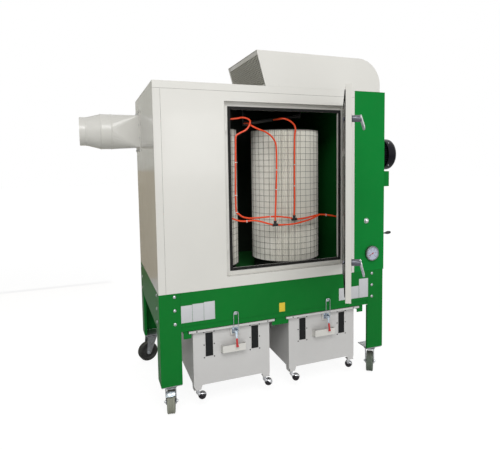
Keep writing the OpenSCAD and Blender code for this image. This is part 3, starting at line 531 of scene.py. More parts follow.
# -------- Outlet hood
# A cream sheet hood sits on the roof, rounded at its right end. A louvred grille of
# light bars closes its leaning left end.

dress(["outlet_hood", "hood_sides"], cream_coat, 1.0, 40)

HOOD_FOOT = (714, 2.5, 2100)  # the open end's front lower corner
HOOD_DEEP = 636
HOOD_HIGH = 221.5
HOOD_LEAN = atan2(60, 224)
GRILLE_RIM = (14, 26)  # at the sides and bottom, and at the top
BAR_PITCH = (26, 13)  # of the bars and of the wires across them
BAR_HALF = (4.5, 1.8)  # half their widths

grille_coat = painted("grille_coat", (0.50, 0.49, 0.43, 1), 0.4, 0.04, 0.002, 0.3,
                      Specular_IOR_Level=0.4)
lean = at(HOOD_FOOT, -HOOD_LEAN, "Y")
long = HOOD_HIGH / cos(HOOD_LEAN)
side, head = GRILLE_RIM
mesh = bmesh.new()
for y0, y1, z0, z1 in ((0.6, side, 2, long - 2), (HOOD_DEEP - side, HOOD_DEEP - 0.6, 2, long - 2),
                       (side, HOOD_DEEP - side, 2, side), (side, HOOD_DEEP - side, long - head, long - 2)):
    block(mesh, (2.4, y0, z0), (6, y1, z1), 0.6, lean)
piece("grille_rim", mesh, cream_coat, stands_for="outlet_grille")
mesh = bmesh.new()
wide, high = HOOD_DEEP - 2 * side, long - head - side
slats, rows = round(wide / BAR_PITCH[0]), round(high / BAR_PITCH[1])
for k in range(slats + 1):
    y = side + k * wide / slats
    block(mesh, (3.4, y - BAR_HALF[0], side - 1), (5.4, y + BAR_HALF[0], long - head + 1), 0, lean)
for k in range(rows + 1):
    z = side + k * high / rows
    block(mesh, (2.8, side - 1, z - BAR_HALF[1]), (4.8, HOOD_DEEP - side + 1, z + BAR_HALF[1]), 0, lean)
piece("grille_bars", mesh, grille_coat)

# -------- Instruments on the column
# A dial gauge with a steel bezel reads the pressure drop over the cartridges, above it
# is a domed push button, and a lever with a moulded knob stands out on the right side.

GAUGE = (1523, 940)  # X and Z
GAUGE_R = 54
DIAL_R = 46.5
DIAL_Y = -19.8  # its printed face
SWEEP = (225, -45)  # the scale's first and last angle
DIAL_NUMBERS = "012345"
NUMBER_R = 26
MARKS = 50
LONG_MARK = (34, 0.9)  # the radius that it starts from, and half its width
SHORT_MARK = (38, 0.4)
MARK_END = 43
NEEDLE_TURN = -205

gx, gz = GAUGE
dress(["pressure_gauge"], painted("case_black", (0.018, 0.018, 0.020, 1), 0.35, 0.08, 0.002, 0.15))
mesh = bmesh.new()
turned(mesh, [(2, GAUGE_R - 0.5), (8, GAUGE_R + 0.6), (17, GAUGE_R + 0.6), (21, GAUGE_R - 1),
              (22.8, GAUGE_R - 3), (22.6, GAUGE_R - 6), (21.5, GAUGE_R - 8), (19.4, GAUGE_R - 8.2)],
       (gx, 0, gz), FRONT, 72)
bezel_steel = plated_metal("bezel_steel", (0.30, 0.31, 0.33, 1), 0.3, (0.12, 0.12, 0.13, 1))
piece("gauge_bezel", mesh, bezel_steel)

mesh = bmesh.new()
turned(mesh, [(-DIAL_Y - 1, DIAL_R), (-DIAL_Y, DIAL_R), (-DIAL_Y, 0)], (gx, 0, gz), FRONT, 72)
piece("gauge_dial", mesh, film("dial_white", (0.46, 0.50, 0.62, 1)))

printed_black = film("printed_black", (0.015, 0.015, 0.018, 1))
mesh = bmesh.new()
for k in range(MARKS + 1):
    a = radians(SWEEP[0] + (SWEEP[1] - SWEEP[0]) * k / MARKS)
    start, half = LONG_MARK if k % 10 == 0 else SHORT_MARK
    dial = at((gx, DIAL_Y - 0.3, gz), -a, "Y")
    block(mesh, (start, -0.15, -half), (MARK_END, 0.35, half), 0, dial)
piece("gauge_scale", mesh, printed_black)
for k, number in enumerate(DIAL_NUMBERS):
    a = radians(SWEEP[0] + (SWEEP[1] - SWEEP[0]) * k / 5)
    text = bpy.data.curves.new("gauge_number_%d" % k, "FONT")
    text.body = number
    text.size = 0.013
    text.extrude = 0.0002
    text.align_x = text.align_y = "CENTER"
    text.materials.append(printed_black)
    made = stand("gauge_number_%d" % k, text)
    made.location = place(gx + NUMBER_R * cos(a), DIAL_Y - 0.4, gz + NUMBER_R * sin(a))
    made.rotation_euler = (pi / 2, 0, 0)
    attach(made, "cabinet")

mesh = bmesh.new()
needle = at((gx, DIAL_Y - 1.4, gz), radians(NEEDLE_TURN), "Y")
block(mesh, (-12, -0.4, -1.2), (37, 0.4, 1.2), 0.2, needle)
turned(mesh, [(19.8, 4.5), (21.8, 4.5), (22.6, 3.4), (22.6, 0)], (gx, 0, gz), FRONT, 24)
needle_red = painted("needle_red", (0.45, 0.012, 0.01, 1), 0.35, 0.02, 0.002, 0.0)
piece("gauge_needle", mesh, needle_red)

BUTTON = (1481, 1179)  # X and Z
DOME = [(0, 20), (2.5, 20), (4, 18.5), (4, 16.5), (7, 16.2), (11, 14), (14.5, 9.5), (16.4, 4), (16.8, 0)]
polished = plated_metal("polished_metal", (0.72, 0.73, 0.76, 1), 0.1, (0.6, 0.6, 0.62, 1), None,
                        (0.03, 0.0002))
mesh = bmesh.new()
turned(mesh, DOME, (BUTTON[0], 0, BUTTON[1]), FRONT, 40)
piece("button_dome", mesh, polished, stands_for="dome_button")

LEVER_FROM = (1632, 80, 1060)
LEVER_RISE = radians(3)
KNOB = [(66, 4.5), (67.5, 6), (76, 8), (84, 10.6), (92, 11.9), (100, 11.6), (110, 10.2), (116.5, 8.4),
        (118, 6), (118.4, 0)]
black_moulding = rubber("black_moulding", (0.016, 0.016, 0.017, 1), 0.42, 0.001, 0.2, Coat_Weight=0.1)
mesh = bmesh.new()
turned(mesh, [(0, 14), (3, 14), (4, 12), (11, 9), (12, 4.5)], LEVER_FROM, RIGHT, 28)
along = (cos(LEVER_RISE), 0, sin(LEVER_RISE))
turned(mesh, [(0, 4.5), (72, 4.5)], LEVER_FROM, along, 16)
turned(mesh, KNOB, LEVER_FROM, along, 28)
piece("side_lever", mesh, black_moulding, stands_for="side_handle")

# -------- Inlet
# A square flange and a square-to-round piece in cream sheet carry a round collar, with
# a reducer and the duct spigot beyond it. Seams are swaged, and screws hold the flange.

dress(["inlet_transition", "inlet_reducer"], cream_coat)
INLET = (902, 1850)  # Y and Z of the axis
FLANGE = (290, 306)  # its size along Y and Z
FLANGE_SCREW_IN = 13
SEAMS = [(-195, 130), (-270, 130), (-370, 104)]  # X and radius of each swaged ring
SWAGE = [(-5, -0.6), (-4, 0.6), (-2, 1.9), (0, 2.3), (2, 1.9), (4, 0.6), (5, -0.6)]

y, z = INLET
mesh = bmesh.new()
for x, r in SEAMS:
    turned(mesh, [(along, r + up) for along, up in SWAGE], (x, y, z), RIGHT, 72)
piece("inlet_seams", mesh, cream_coat, smooth=60)
mesh = bmesh.new()
wide, high = (size / 2 - FLANGE_SCREW_IN for size in FLANGE)
for k in range(4):
    share = k / 3 * 2 - 1
    for u, v in ((-1, share), (1, share), (share, -1), (share, 1)):
        turned(mesh, PAN_HEAD, (-4, y + u * wide, z + v * high), (-1, 0, 0), 14)
piece("inlet_screws", mesh, zinc_plating)

# -------- Filter cartridges
# Two upright cartridges of off-white pleated cloth, each inside a welded mesh of thin
# black wire between two sheet-steel end caps, standing on a sealing ring.

CARTRIDGES = [("left", 359, 354), ("right", 993, 354)]  # X and Y of the axis
MEDIA_Z = (907.5, 1838.5)
MEDIA_R = 249
PLEATS = 112
PLEAT_DEPTH = 13
PLEAT_STEPS = (0, 0.28, 1, 0.72)  # how deep the cloth is at each quarter of a pleat
PLEAT_ROWS = 10
PLEAT_BOW = 0.004  # radians that a pleat wanders at mid height
MESH_R = 252.4
WIRE_R = 1.0
MESH_CELL = 42.5
POSTS = 35
CAP_H = 4
CAP_INNER = 204
RING = [(812.5, 206), (812.5, 240), (820, 240), (824, 234), (900, 234), (907.5, 238), (907.5, 206),
        (812.5, 206)]
CLOTH = (0.90, 0.885, 0.82, 1)
CLOTH_DUSTY = (0.62, 0.60, 0.53, 1)

cloth, tree, shader = material("filter_cloth", Roughness=0.85, Specular_IOR_Level=0.15,
                               Sheen_Weight=0.15)
spot = surface_spot(tree)
stain = noise(tree, spot, 5.0, 8.0, Roughness=0.6)
stretch = add(tree, "ShaderNodeMapping", {"Vector": spot, "Scale": (105.0, 105.0, 1.2)})
runs = maths(tree, "MULTIPLY", noise(tree, stretch.outputs[0], 1.0, 3.0), 0.9)
soil = maths(tree, "ADD", beyond(tree, stain, 0.38, 1.6), runs)
soil = maths(tree, "MULTIPLY", soil, 0.5, True)
fill(tree, shader, {"Base Color": mixed(tree, soil, CLOTH, CLOTH_DUSTY)})
raised(tree, shader, noise(tree, spot, 900.0, 2.0), 0.4, 0.0006)

wire_black = painted("wire_black", (0.10, 0.10, 0.09, 1), 0.4, 0.1, 0.003, 0.3)
z0, z1 = MEDIA_Z
for side, x, y in CARTRIDGES:
    mesh = bmesh.new()
    ring = []
    for k in range(4 * PLEATS):
        a = 2 * pi * k / (4 * PLEATS)
        lean = 0.35 * sin(7 * a) + 0.25 * sin(19 * a + 1)
        ring.append((a, MEDIA_R - PLEAT_DEPTH * PLEAT_STEPS[k % 4], lean))
    loops = []
    for row in range(PLEAT_ROWS + 1):
        z = z0 + CAP_H / 2 + (z1 - z0 - CAP_H) * row / PLEAT_ROWS
        bow = sin(pi * row / PLEAT_ROWS) * PLEAT_BOW
        loops.append([mesh.verts.new((x + r * cos(a + lean * bow), y + r * sin(a + lean * bow), z))
                      for a, r, lean in ring])
    for low, high in zip(loops, loops[1:]):
        for k in range(len(ring)):
            n = (k + 1) % len(ring)
            mesh.faces.new((low[k], low[n], high[n], high[k]))
    piece("cartridge_%s_pleats" % side, mesh, cloth, smooth=25,
          stands_for="filter_" + side)

    mesh = bmesh.new()
    wire = [(WIRE_R, 0), (0, WIRE_R), (-WIRE_R, 0), (0, -WIRE_R), (WIRE_R, 0)]
    rings = round((z1 - z0 - 2 * CAP_H) / MESH_CELL)
    for k in range(rings + 1):
        z = z0 + CAP_H + (z1 - z0 - 2 * CAP_H) * k / rings
        turned(mesh, [(z + h, MESH_R + r) for r, h in wire], (x, y, 0), steps=84)
    for k in range(POSTS):
        a = 2 * pi * (k + 0.5) / POSTS
        foot = (x + (MESH_R - WIRE_R) * cos(a), y + (MESH_R - WIRE_R) * sin(a), 0)
        turned(mesh, [(z0 + CAP_H, WIRE_R), (z1 - CAP_H, WIRE_R)], foot, steps=6)
    piece("cartridge_%s_mesh" % side, mesh, wire_black)

    mesh = bmesh.new()
    outer = MESH_R + 1.6
    for low, high in ((z0, z0 + CAP_H), (z1 - CAP_H, z1)):
        turned(mesh, [(low, CAP_INNER), (low, outer - 1.5), (low + 1.5, outer), (high - 1.5, outer),
                      (high, outer - 1.5), (high, CAP_INNER), (low, CAP_INNER)], (x, y, 0), steps=96)
    turned(mesh, [(z1 - 6, CAP_INNER), (z1 - 4, 190), (z1 - 9, 150), (z1 - 9, 0)], (x, y, 0), steps=64)
    piece("cartridge_%s_caps" % side, mesh, black_paint)
    mesh = bmesh.new()
    turned(mesh, RING, (x, y, 0), steps=96)
    piece("cartridge_%s_ring" % side, mesh, sponge_rubber)

# -------- Cleaning-air hoses
# Orange 12 mm air tube feeds the cleaning valves from a black steel pipe hung over the
# cartridges. Tubes meet in two black tees, and white ties gather them.

HOSE_D = 12
HOSES = {
    "left_drop": [
        (2.5, 85, 1868), (240, 85, 1874), (510, 85, 1892), (585, 85, 1903), (633, 85, 1882),
        (611, 85, 1829), (556, 85, 1799), (533, 85, 1776), (530, 85, 1692), (525, 85, 1318),
        (546, 85, 1271), (574, 85, 1249), (615, 85, 1238)],
    "middle_drop": [
        (622, 189, 1872), (630, 130, 1870), (648, 84, 1848), (688, 83, 1830), (736, 83, 1813),
        (780, 83, 1785), (809, 83, 1745), (817, 83, 1690), (816, 80, 1557), (808, 76, 1380),
        (798, 71, 1210)],
    "right_drop": [
        (838, 189, 1904), (846, 130, 1902), (869, 88, 1904), (906, 85, 1895), (943, 85, 1872),
        (961, 85, 1840), (955, 85, 1785), (953, 85, 1692), (951, 85, 1485), (951, 85, 1346),
        (947, 85, 1240)],
    "upper_run": [
        (1377.5, 85, 1206), (1291, 85, 1212), (1213, 85, 1227), (1144, 85, 1234), (1069, 85, 1222),
        (1007, 85, 1214), (947, 85, 1213), (915, 85, 1224), (840, 85, 1236), (766, 85, 1240),
        (679, 85, 1238), (615, 85, 1238)],
    "lower_run": [
        (1144, 85, 1234), (1069, 76, 1207), (991, 71, 1190), (914, 71, 1181), (798, 71, 1184),
        (740, 71, 1198), (690, 71, 1214), (636, 71, 1224), (594, 71, 1222), (538, 71, 1228),
        (440, 71, 1262), (220, 71, 1292), (2.5, 71, 1300)],
}
TEES = [(798, 71, 1193), (947, 85, 1222)]
TIES = {"left_drop": [(529, 85, 1560), (526, 85, 1420), (527, 85, 1300)],
        "middle_drop": [(816, 80, 1575), (810, 77, 1425)], "right_drop": [(952, 85, 1575), (951, 85, 1430)],
        "upper_run": [(766, 85, 1240), (1190, 85, 1230)], "lower_run": [(594, 71, 1222)]}
PIPE = [(620, 200, 1872), (1050, 200, 1935)]
PIPE_OUTLETS = [HOSES["middle_drop"][0], HOSES["right_drop"][0]]
PIPE_CAP = [(0, 11.2), (0, 15), (3, 16.5), (31, 16.5), (34, 15), (34, 11.2)]

ORANGE = (0.88, 0.075, 0.012, 1)
tube_orange = coated("tube_orange", sprayed, spray(ORANGE, 0.34, 0.06, 0.004), (0.15, 0.0004),
                     Coat_Weight=0.3, Coat_Roughness=0.15, Subsurface_Weight=0.1, Subsurface_Scale=0.004)
dress(["air_fittings"], black_moulding)
tie_white = rubber("tie_white", (0.72, 0.72, 0.70, 1), 0.45, 0.001, 0.1)


def smooth_line(points, steps):
    """Points on one smooth curve through the given ones."""
    line = []
    for i in range(len(points) - 1):
        a, b, c, d = (Vector(points[min(max(i + k, 0), len(points) - 1)]) for k in (-1, 0, 1, 2))
        for s in range(steps):
            u = s / steps
            line.append(b + u / 2 * ((c - a) + u * ((2 * a - 5 * b + 4 * c - d)
                                                    + u * (3 * b - a - 3 * c + d))))
    return line + [Vector(points[-1])]


for name, route in HOSES.items():
    line = smooth_line(route, 4)
    curve = bpy.data.curves.new("hose_" + name, "CURVE")
    curve.dimensions = "3D"
    curve.bevel_depth = HOSE_D / 2000
    curve.bevel_resolution = 3
    curve.use_fill_caps = True
    spline = curve.splines.new("POLY")
    spline.points.add(len(line) - 1)
    for target, p in zip(spline.points, line):
        target.co = (*place(*p), 1)
    spline.use_smooth = True
    curve.materials.append(tube_orange)
    hose = stand("hose_" + name, curve)
    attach(hose, "cabinet")
    mesh = bmesh.new()
    for spot in TIES[name]:
        near = min(range(1, len(line) - 1), key=lambda k: (line[k] - Vector(spot)).length)
        along = line[near + 1] - line[near - 1]
        turned(mesh, [(-2.4, 6), (-2.4, 7.3), (2.4, 7.3), (2.4, 6)], line[near], along, 20)
        side = along.normalized().cross(Vector((0, 1, 0))).normalized()
        turned(mesh, [(6, 2.6), (12, 2.6), (12.4, 0)], line[near] + Vector(FRONT),
               side + Vector((0, -0.6, 0)), 6)
    ties = piece("hose_ties_" + name, mesh, tie_white)
    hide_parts("air_hoses")

mesh = bmesh.new()
a, b = (Vector(p) for p in PIPE)
along = b - a
caps = [(start + s, r) for start in (0, along.length - PIPE_CAP[-1][0]) for s, r in PIPE_CAP]
turned(mesh, caps, a, along, 8)
for x, y, z in PIPE_OUTLETS:
    turned(mesh, [(-6, 9), (6, 9), (6, 8), (16, 8), (18, 7), (18, 6)], (x, y + 8, z), FRONT, 18)
piece("pipe_fittings", mesh, black_moulding)
mesh = bmesh.new()
for x, y, z in TEES:
    for end, axis in (((x - 17, y, z - 9), (-1, 0, 0)), ((x + 17, y, z - 9), RIGHT),
                      ((x, y, z + 17), (0, 0, 1))):
        turned(mesh, [(-9, 9.6), (-8, 10.4), (-1, 10.4), (0, 9.6), (2.2, 8.8), (3, 6.2)], end, axis, 20)
piece("tee_collars", mesh, black_moulding)

# -------- Door
# One thick pan of folded cream sheet with a sponge gasket on its inside. It hangs on
# two lift-off hinges at its right edge, and stands open.

PIN = Vector((1296, -17, 0))
swung = at(PIN, radians(60), "Z") @ Matrix.Translation(-PIN)
DOOR = (429, 1291, 875, 2000)  # X and Z of its low and high edges, when shut
DOOR_OUT = -32
INNER_SHEET_IN = 48  # from the door's edge
STIFFENER_IN = 340  # from its top and its bottom
RIVET_IN = 62
HINGE_Z = (1025, 1850)
HINGE_HALF = 30

# Painted shade: the door's cream is darker than the cabinet's, for the shade on its free edge
door_painted_shade_cream = painted("door_painted_shade_cream", (0.60, 0.59, 0.55, 1), 0.28, 0.02, 0.0012, 0.12, 0.25,
                     (0.40, 0.39, 0.35, 1), **CREAM_GLOSS)
dress(["door_panel"], door_painted_shade_cream, 1.6)
dress(["door_hinge_plates"], cream_coat, 0.8)

mesh = bmesh.new()
x0, x1, z0, z1 = DOOR
block(mesh, (x0 + INNER_SHEET_IN, -2.1, z0 + INNER_SHEET_IN),
      (x1 - INNER_SHEET_IN, -0.6, z1 - INNER_SHEET_IN), 0.5)
for z in (z0 + STIFFENER_IN, z1 - STIFFENER_IN):
    block(mesh, (x0 + 130, -1, z - 20), (x1 - 60, 3.2, z + 20), 2.2)
piece("door_inner_sheet", mesh, door_painted_shade_cream, "door", swung)
mesh = bmesh.new()
for k in range(5):
    z = z0 + RIVET_IN + k * (z1 - z0 - 2 * RIVET_IN) / 4
    for x in (x0 + RIVET_IN, x1 - RIVET_IN):
        turned(mesh, [(0, 4.5), (0.8, 4.3), (2, 2.4), (2.2, 0)], (x, -0.7, z), (0, 1, 0), 14)
piece("door_rivets", mesh, zinc_plating, "door", swung)
mesh = bmesh.new()
for z in HINGE_Z:
    for end, out in ((z - HINGE_HALF - 0.3, -1), (z + HINGE_HALF - 0.1, 1)):
        turned(mesh, [(0, 6.5), (1.6, 6.2), (3.0, 4), (3.2, 0)], (PIN.x, PIN.y, end), (0, 0, out), 20)
    for side in (-19, 19):
        turned(mesh, [(0, 5.5), (1.2, 5), (2.4, 0)], (PIN.x + 17, -4, z + side), FRONT, 16)
piece("hinge_caps", mesh, zinc_plating)

# Compression latches: a round dark boss on a plate, a cast lever turned out from its
# end with a painted highlight over its outer face, and a cam that turns in behind a strike on the frame.
LATCHES = [("door_latch_top", 1833, -48), ("door_latch_bottom", 1074, 0)]  # body, Z, turn
LATCH_X = 509
BOSS = 52
BOSS_R = 18
LEVER = (22, 14, 101)  # wide, thick, long
LEVER_TILT = radians(-15)
boss_grey = painted("boss_grey", (0.10, 0.10, 0.125, 1), 0.3, 0.15, 0.003, 0.1, Metallic=0.4)
lever_grey = plated_metal("lever_grey", (0.42, 0.43, 0.47, 1), 0.34, (0.26, 0.27, 0.30, 1), 0.1)
lever_highlight = plated_metal("lever_highlight", (0.78, 0.79, 0.80, 1), 0.22, (0.60, 0.61, 0.62, 1), 0.1)
for name, z, turned_by in LATCHES:
    shaft = swung @ at((LATCH_X, 0, z), radians(turned_by), "Y")
    mesh = bmesh.new()
    block(mesh, (-17, DOOR_OUT - 3.5, -46), (17, DOOR_OUT - 0.1, 20), 1.4)
    turned(mesh, [(0, BOSS_R - 2), (3.5, BOSS_R - 2), (5, BOSS_R), (BOSS - 8, BOSS_R),
                  (BOSS - 5, BOSS_R - 2), (BOSS, BOSS_R - 3), (BOSS, 0)], (0, DOOR_OUT, 0), FRONT, 36)
    turned(mesh, [(0, 7), (36, 7), (42, 6.8), (44, 5.5), (44, 0)], (0, DOOR_OUT, 0), (0, 1, 0), 20)
    block(mesh, (-9, 8, -67), (9, 12, 1), 1.2)
    turned(mesh, [(0, 10), (5, 10), (6, 8.6), (6, 0)], (0, 8, 0), FRONT, 6)
    piece(name + "_boss", mesh, boss_grey, name, shaft, stands_for=name)

    arm = at((0, DOOR_OUT - BOSS + LEVER[1], BOSS_R), LEVER_TILT, "X")
    wide, thick, long = LEVER
    mesh = bmesh.new()
    block(mesh, (-wide / 2 + 1.5, -thick + 2, -long + 2), (wide / 2 - 1.5, 0, -3), 2.5, arm)
    piece(name + "_lever", mesh, lever_grey, name, shaft, stands_for=name)
    # Painted highlight: a brighter copy of the lever's metal over its outer face
    mesh = bmesh.new()
    block(mesh, (-wide / 2, -thick, -long + 14), (wide / 2, -thick + 3.4, -3), 1.5, arm)
    piece(name + "_highlight_strip", mesh, lever_highlight, name, shaft, stands_for=name)

# -------- Dust bins
# Two folded cream boxes hang by their out-turned rims from the rails. Each has two
# sight windows, a bent sheet handle, a toggle latch to the skirt and four ball casters.

# For each bin: body, X of its middle, how far the latch is from there, and how its
# casters trail and their hoods lean, in degrees from the right, front ones first
BINS = [("bin_left", 469.5, 15, [(17, 78), (15, 20), (40, 100), (-20, 50)]),
        ("bin_right", 1135.5, 26, [(-10, 65), (54, 35), (25, 90), (10, 60)])]
BIN = dict(wide=522, deep=900, front=32, floor=180, rim_out=29, caster_under=30)
LIP_SCREW = (240, 548)  # X from the bin's middle, and Z
WINDOW = dict(x=156, wide=50, high=157, top=522, rim=5)
WINDOW_SCREWS = (33.5, (526, 443, 359))  # from the window's middle, and their heights
HANDLE = dict(wide=156, deep=45, low=372, mid=386, top=432, t=2)
TOGGLE = dict(y=-8, pivot=516, keeper=644, tilt=radians(13), plate=(495, 545), wide=42,
              cheek_x=11, rivet_x=16, rivets=(501, 539))
PACKING = (30.4, 12.4, 486.6)  # half its width, its thickness, and its foot
LOOP_R = 16
LOOP_WIRE_R = 2
ARCH_H = 14
BALL = dict(r=26, z=93, inset=29, trail=33, lean=radians(45), hood_t=2, neck=radians(130),
            stem_up=24, stem_r=11)
# The keeper's plate, tongue and hook: half the width, Y and Z of two corners, edge
KEEPER = [(12.4, -2.6, -18.4, 0, 0.4, 0.5), (7.4, -14.6, -4.6, -1, 0.5, 1.2),
          (7.4, -14.6, -4.6, -12.4, 6, 0.9)]
CHANNEL = [(-7, 3), (7, 3), (7, -14), (4.5, -46), (-4.5, -46), (-7, -14)]  # the lever's web
SMALL_HEAD = [(0, 4.2), (1.2, 4), (2.6, 2.6), (2.8, 0)]
HEX_COLLAR = [(0, 0), (0, 15), (1, 16), (3.4, 16), (4, 15), (4, 0)]

bin_cream = painted("bin_cream", (0.625, 0.618, 0.610, 1), 0.34, 0.035, 0.0016, 0.4, 0.4,
                    (0.40, 0.40, 0.38, 1), Coat_Weight=0.15, Coat_Roughness=0.15)
pane_grey = coated("pane_grey", sprayed, spray((0.008, 0.009, 0.010, 1), 0.3, 0.25, 0.01), None, 0.05,
                   Roughness=0.3, Specular_IOR_Level=0.2)
latch_steel = plated_metal("latch_steel", (0.52, 0.60, 0.68, 1), 0.3, (0.24, 0.29, 0.36, 1), 0.05)
wire_steel = plated_metal("wire_steel", (0.62, 0.66, 0.70, 1), 0.25, (0.42, 0.45, 0.48, 1), 0.05)
grip_red = painted("grip_red", (0.52, 0.010, 0.012, 1), 0.4, 0.05, 0.003, 0.15, Subsurface_Weight=0.05)
chrome = plated_metal("chrome", (0.82, 0.83, 0.86, 1), 0.12, (0.60, 0.61, 0.64, 1), 0.05)
ball_black = rubber("ball_black", (0.010, 0.008, 0.012, 1), 0.3, 0.001, 0.06)


def slab(mesh, outline, low, high, spot):
    """A flat shape between two depths; spot gives the point of (u, v, depth)."""
    rings = [[mesh.verts.new(spot(u, v, d)) for u, v in outline] for d in (low, high)]
    mesh.faces.new(rings[0])
    mesh.faces.new(rings[1][::-1])
    for k in range(len(outline)):
        n = (k + 1) % len(outline)
        mesh.faces.new((rings[0][n], rings[0][k], rings[1][k], rings[1][n]))


for body, middle, latch_in, turns in BINS:
    dress([body + "_box"], bin_cream, 1.1)
    dress([body + "_windows"], pane_grey)
    front = BIN["front"]

    # Window frames pressed round the openings, and the screws of the lip and the panes
    mesh = bmesh.new()
    screws = bmesh.new()
    rim, z1 = WINDOW["rim"], WINDOW["top"]
    z0 = z1 - WINDOW["high"]
    for s in (-1, 1):
        x0 = middle + s * WINDOW["x"] - WINDOW["wide"] / 2
        x1 = x0 + WINDOW["wide"]
        for left, low, right, high in ((x0 - rim, z0 - rim, x1 + rim, z0 + 0.5),
                                       (x0 - rim, z1 - 0.5, x1 + rim, z1 + rim),
                                       (x0 - rim, z0, x0 + 0.5, z1), (x1 - 0.5, z0, x1 + rim, z1)):
            block(mesh, (left, front - 1.2, low), (right, front + 0.2, high), 0.5)
        for x in (-WINDOW_SCREWS[0], WINDOW_SCREWS[0]):
            for z in WINDOW_SCREWS[1]:
                turned(screws, SMALL_HEAD, (middle + s * WINDOW["x"] + x, front, z), FRONT, 14)
        turned(screws, SMALL_HEAD, (middle + s * LIP_SCREW[0], front - BIN["rim_out"], LIP_SCREW[1]),
               FRONT, 14)
    piece(body + "_window_frames", mesh, bin_cream, body)
    piece(body + "_screws", screws, black_paint, body)

    # Handle: one bent sheet with hemmed upper edge and two side flanges
    deep, low, mid, top, t = (HANDLE[key] for key in ("deep", "low", "mid", "top", "t"))
    x0, x1 = middle - HANDLE["wide"] / 2, middle + HANDLE["wide"] / 2
    mesh = bmesh.new()
    bend = [((0, low), (0, low + t)), ((deep, mid), (deep - t, mid + t)), ((deep, top), (deep - t, top))]
    for (a, c), (b, d) in zip(bend, bend[1:]):
        slab(mesh, (a, b, d, c), x0, x1, lambda out, z, x: (x, front - out, z))
    flange = [(0, low), (deep - 0.3, mid), (deep - 0.3, top), (deep - 14, top), (0, top - 8)]
    for x in (x0, x1 - t):
        slab(mesh, flange, x, x + t, lambda out, z, x: (x, front - out, z))
    block(mesh, (x0, front - deep - 0.4, top - 3.5), (x1, front - deep + 3.6, top), 1.2)
    piece(body + "_handle_sheet", mesh, cream_coat, body, stands_for=body + "_handle")

    # Toggle latch: base plate, cheeks and rivets in blue-grey zinc on a cream packing
    # block, and a bent wire loop round the hooked keeper on the skirt
    x, y, pivot, keeper = middle + latch_in, TOGGLE["y"], TOGGLE["pivot"], TOGGLE["keeper"]
    low, high = TOGGLE["plate"]
    half = TOGGLE["wide"] / 2
    face, back = front - 15, front - 12
    mesh = bmesh.new()
    block(mesh, (x - half, face, low), (x + half, back, high), 1.0)
    for side in (-1, 1):
        cheek = x + side * TOGGLE["cheek_x"]
        block(mesh, (cheek - 1.5, y - 5, pivot - 8), (cheek + 1.5, back, pivot + 8), 0.6)
        for z in TOGGLE["rivets"]:
            turned(mesh, [(0, 3.6), (1.6, 3), (2.2, 0)], (x + side * TOGGLE["rivet_x"], face, z), FRONT, 12)
    block(mesh, (x - 9, front - 20, 526), (x + 9, front - 13, 541), 1.5)
    piece(body + "_toggle", mesh, latch_steel, body, stands_for=body + "_latch")
    mesh = bmesh.new()
    wide, thick, foot = PACKING
    block(mesh, (x - wide, front - thick, foot), (x + wide, front - 0.2, high + 0.2), 1.6)
    piece(body + "_packing", mesh, cream_coat, body)

    mesh = bmesh.new()
    arch = [Vector((LOOP_R * cos(pi * k / 8), y, keeper + 4 - ARCH_H + ARCH_H * sin(pi * k / 8)))
            for k in range(9)]
    arch = [Vector((LOOP_R, y, pivot))] + arch + [Vector((-LOOP_R, y, pivot))]
    wires = []
    for k, spot in enumerate(arch):
        along = (arch[min(k + 1, len(arch) - 1)] - arch[max(k - 1, 0)]).normalized()
        out = along.cross(Vector((0, 1, 0))).normalized()
        wires.append([mesh.verts.new(Vector((x, 0, 0)) + spot + LOOP_WIRE_R * (
            cos(n * pi / 4) * out + sin(n * pi / 4) * Vector((0, 1, 0)))) for n in range(8)])
    for one, two in zip(wires, wires[1:]):
        for n in range(8):
            mesh.faces.new((one[n], one[(n + 1) % 8], two[(n + 1) % 8], two[n]))
    turned(mesh, [(-18, 0), (-18, 1.4), (-17.4, 2), (17.4, 2), (18, 1.4), (18, 0)], (x, y, pivot),
           RIGHT, 12)
    piece(body + "_toggle_loop", mesh, wire_steel, body, smooth=60, stands_for=body + "_latch")
    mesh = bmesh.new()
    for half, y0, z0, y1, z1, edge in KEEPER:
        block(mesh, (x - half, y0, keeper + z0), (x + half, y1, keeper + z1), edge)
    piece(body.replace("bin", "keeper"), mesh, wire_steel)

    # Lever: a pressed channel that narrows to its neck, and a red moulded grip
    hinge = Vector((x, y, pivot))
    tilt = at(hinge, -TOGGLE["tilt"], "X")
    mesh = bmesh.new()
    turned(mesh, [(-8, 2.2), (-8, 5), (8, 5), (8, 2.2)], hinge, RIGHT, 20)
    slab(mesh, CHANNEL, -3, -1, lambda u, v, d: tilt @ Vector((u, d, v)))
    for left, right in ((-6.8, -4.6), (4.6, 6.8)):
        block(mesh, (left, -2, -30), (right, 2, -2), 0.5, tilt)
    lever = body + "_lever"
    piece(body + "_toggle_lever", mesh, latch_steel, lever, stands_for=body + "_latch_lever")
    mesh = bmesh.new()
    block(mesh, (-6.4, -5.4, -94), (6.4, 3, -44), 2.4, tilt)
    block(mesh, (-8.6, -6, -100), (8.6, 3.6, -88), 2.6, tilt)
    piece(body + "_toggle_grip", mesh, grip_red, lever, stands_for=body + "_latch_lever")

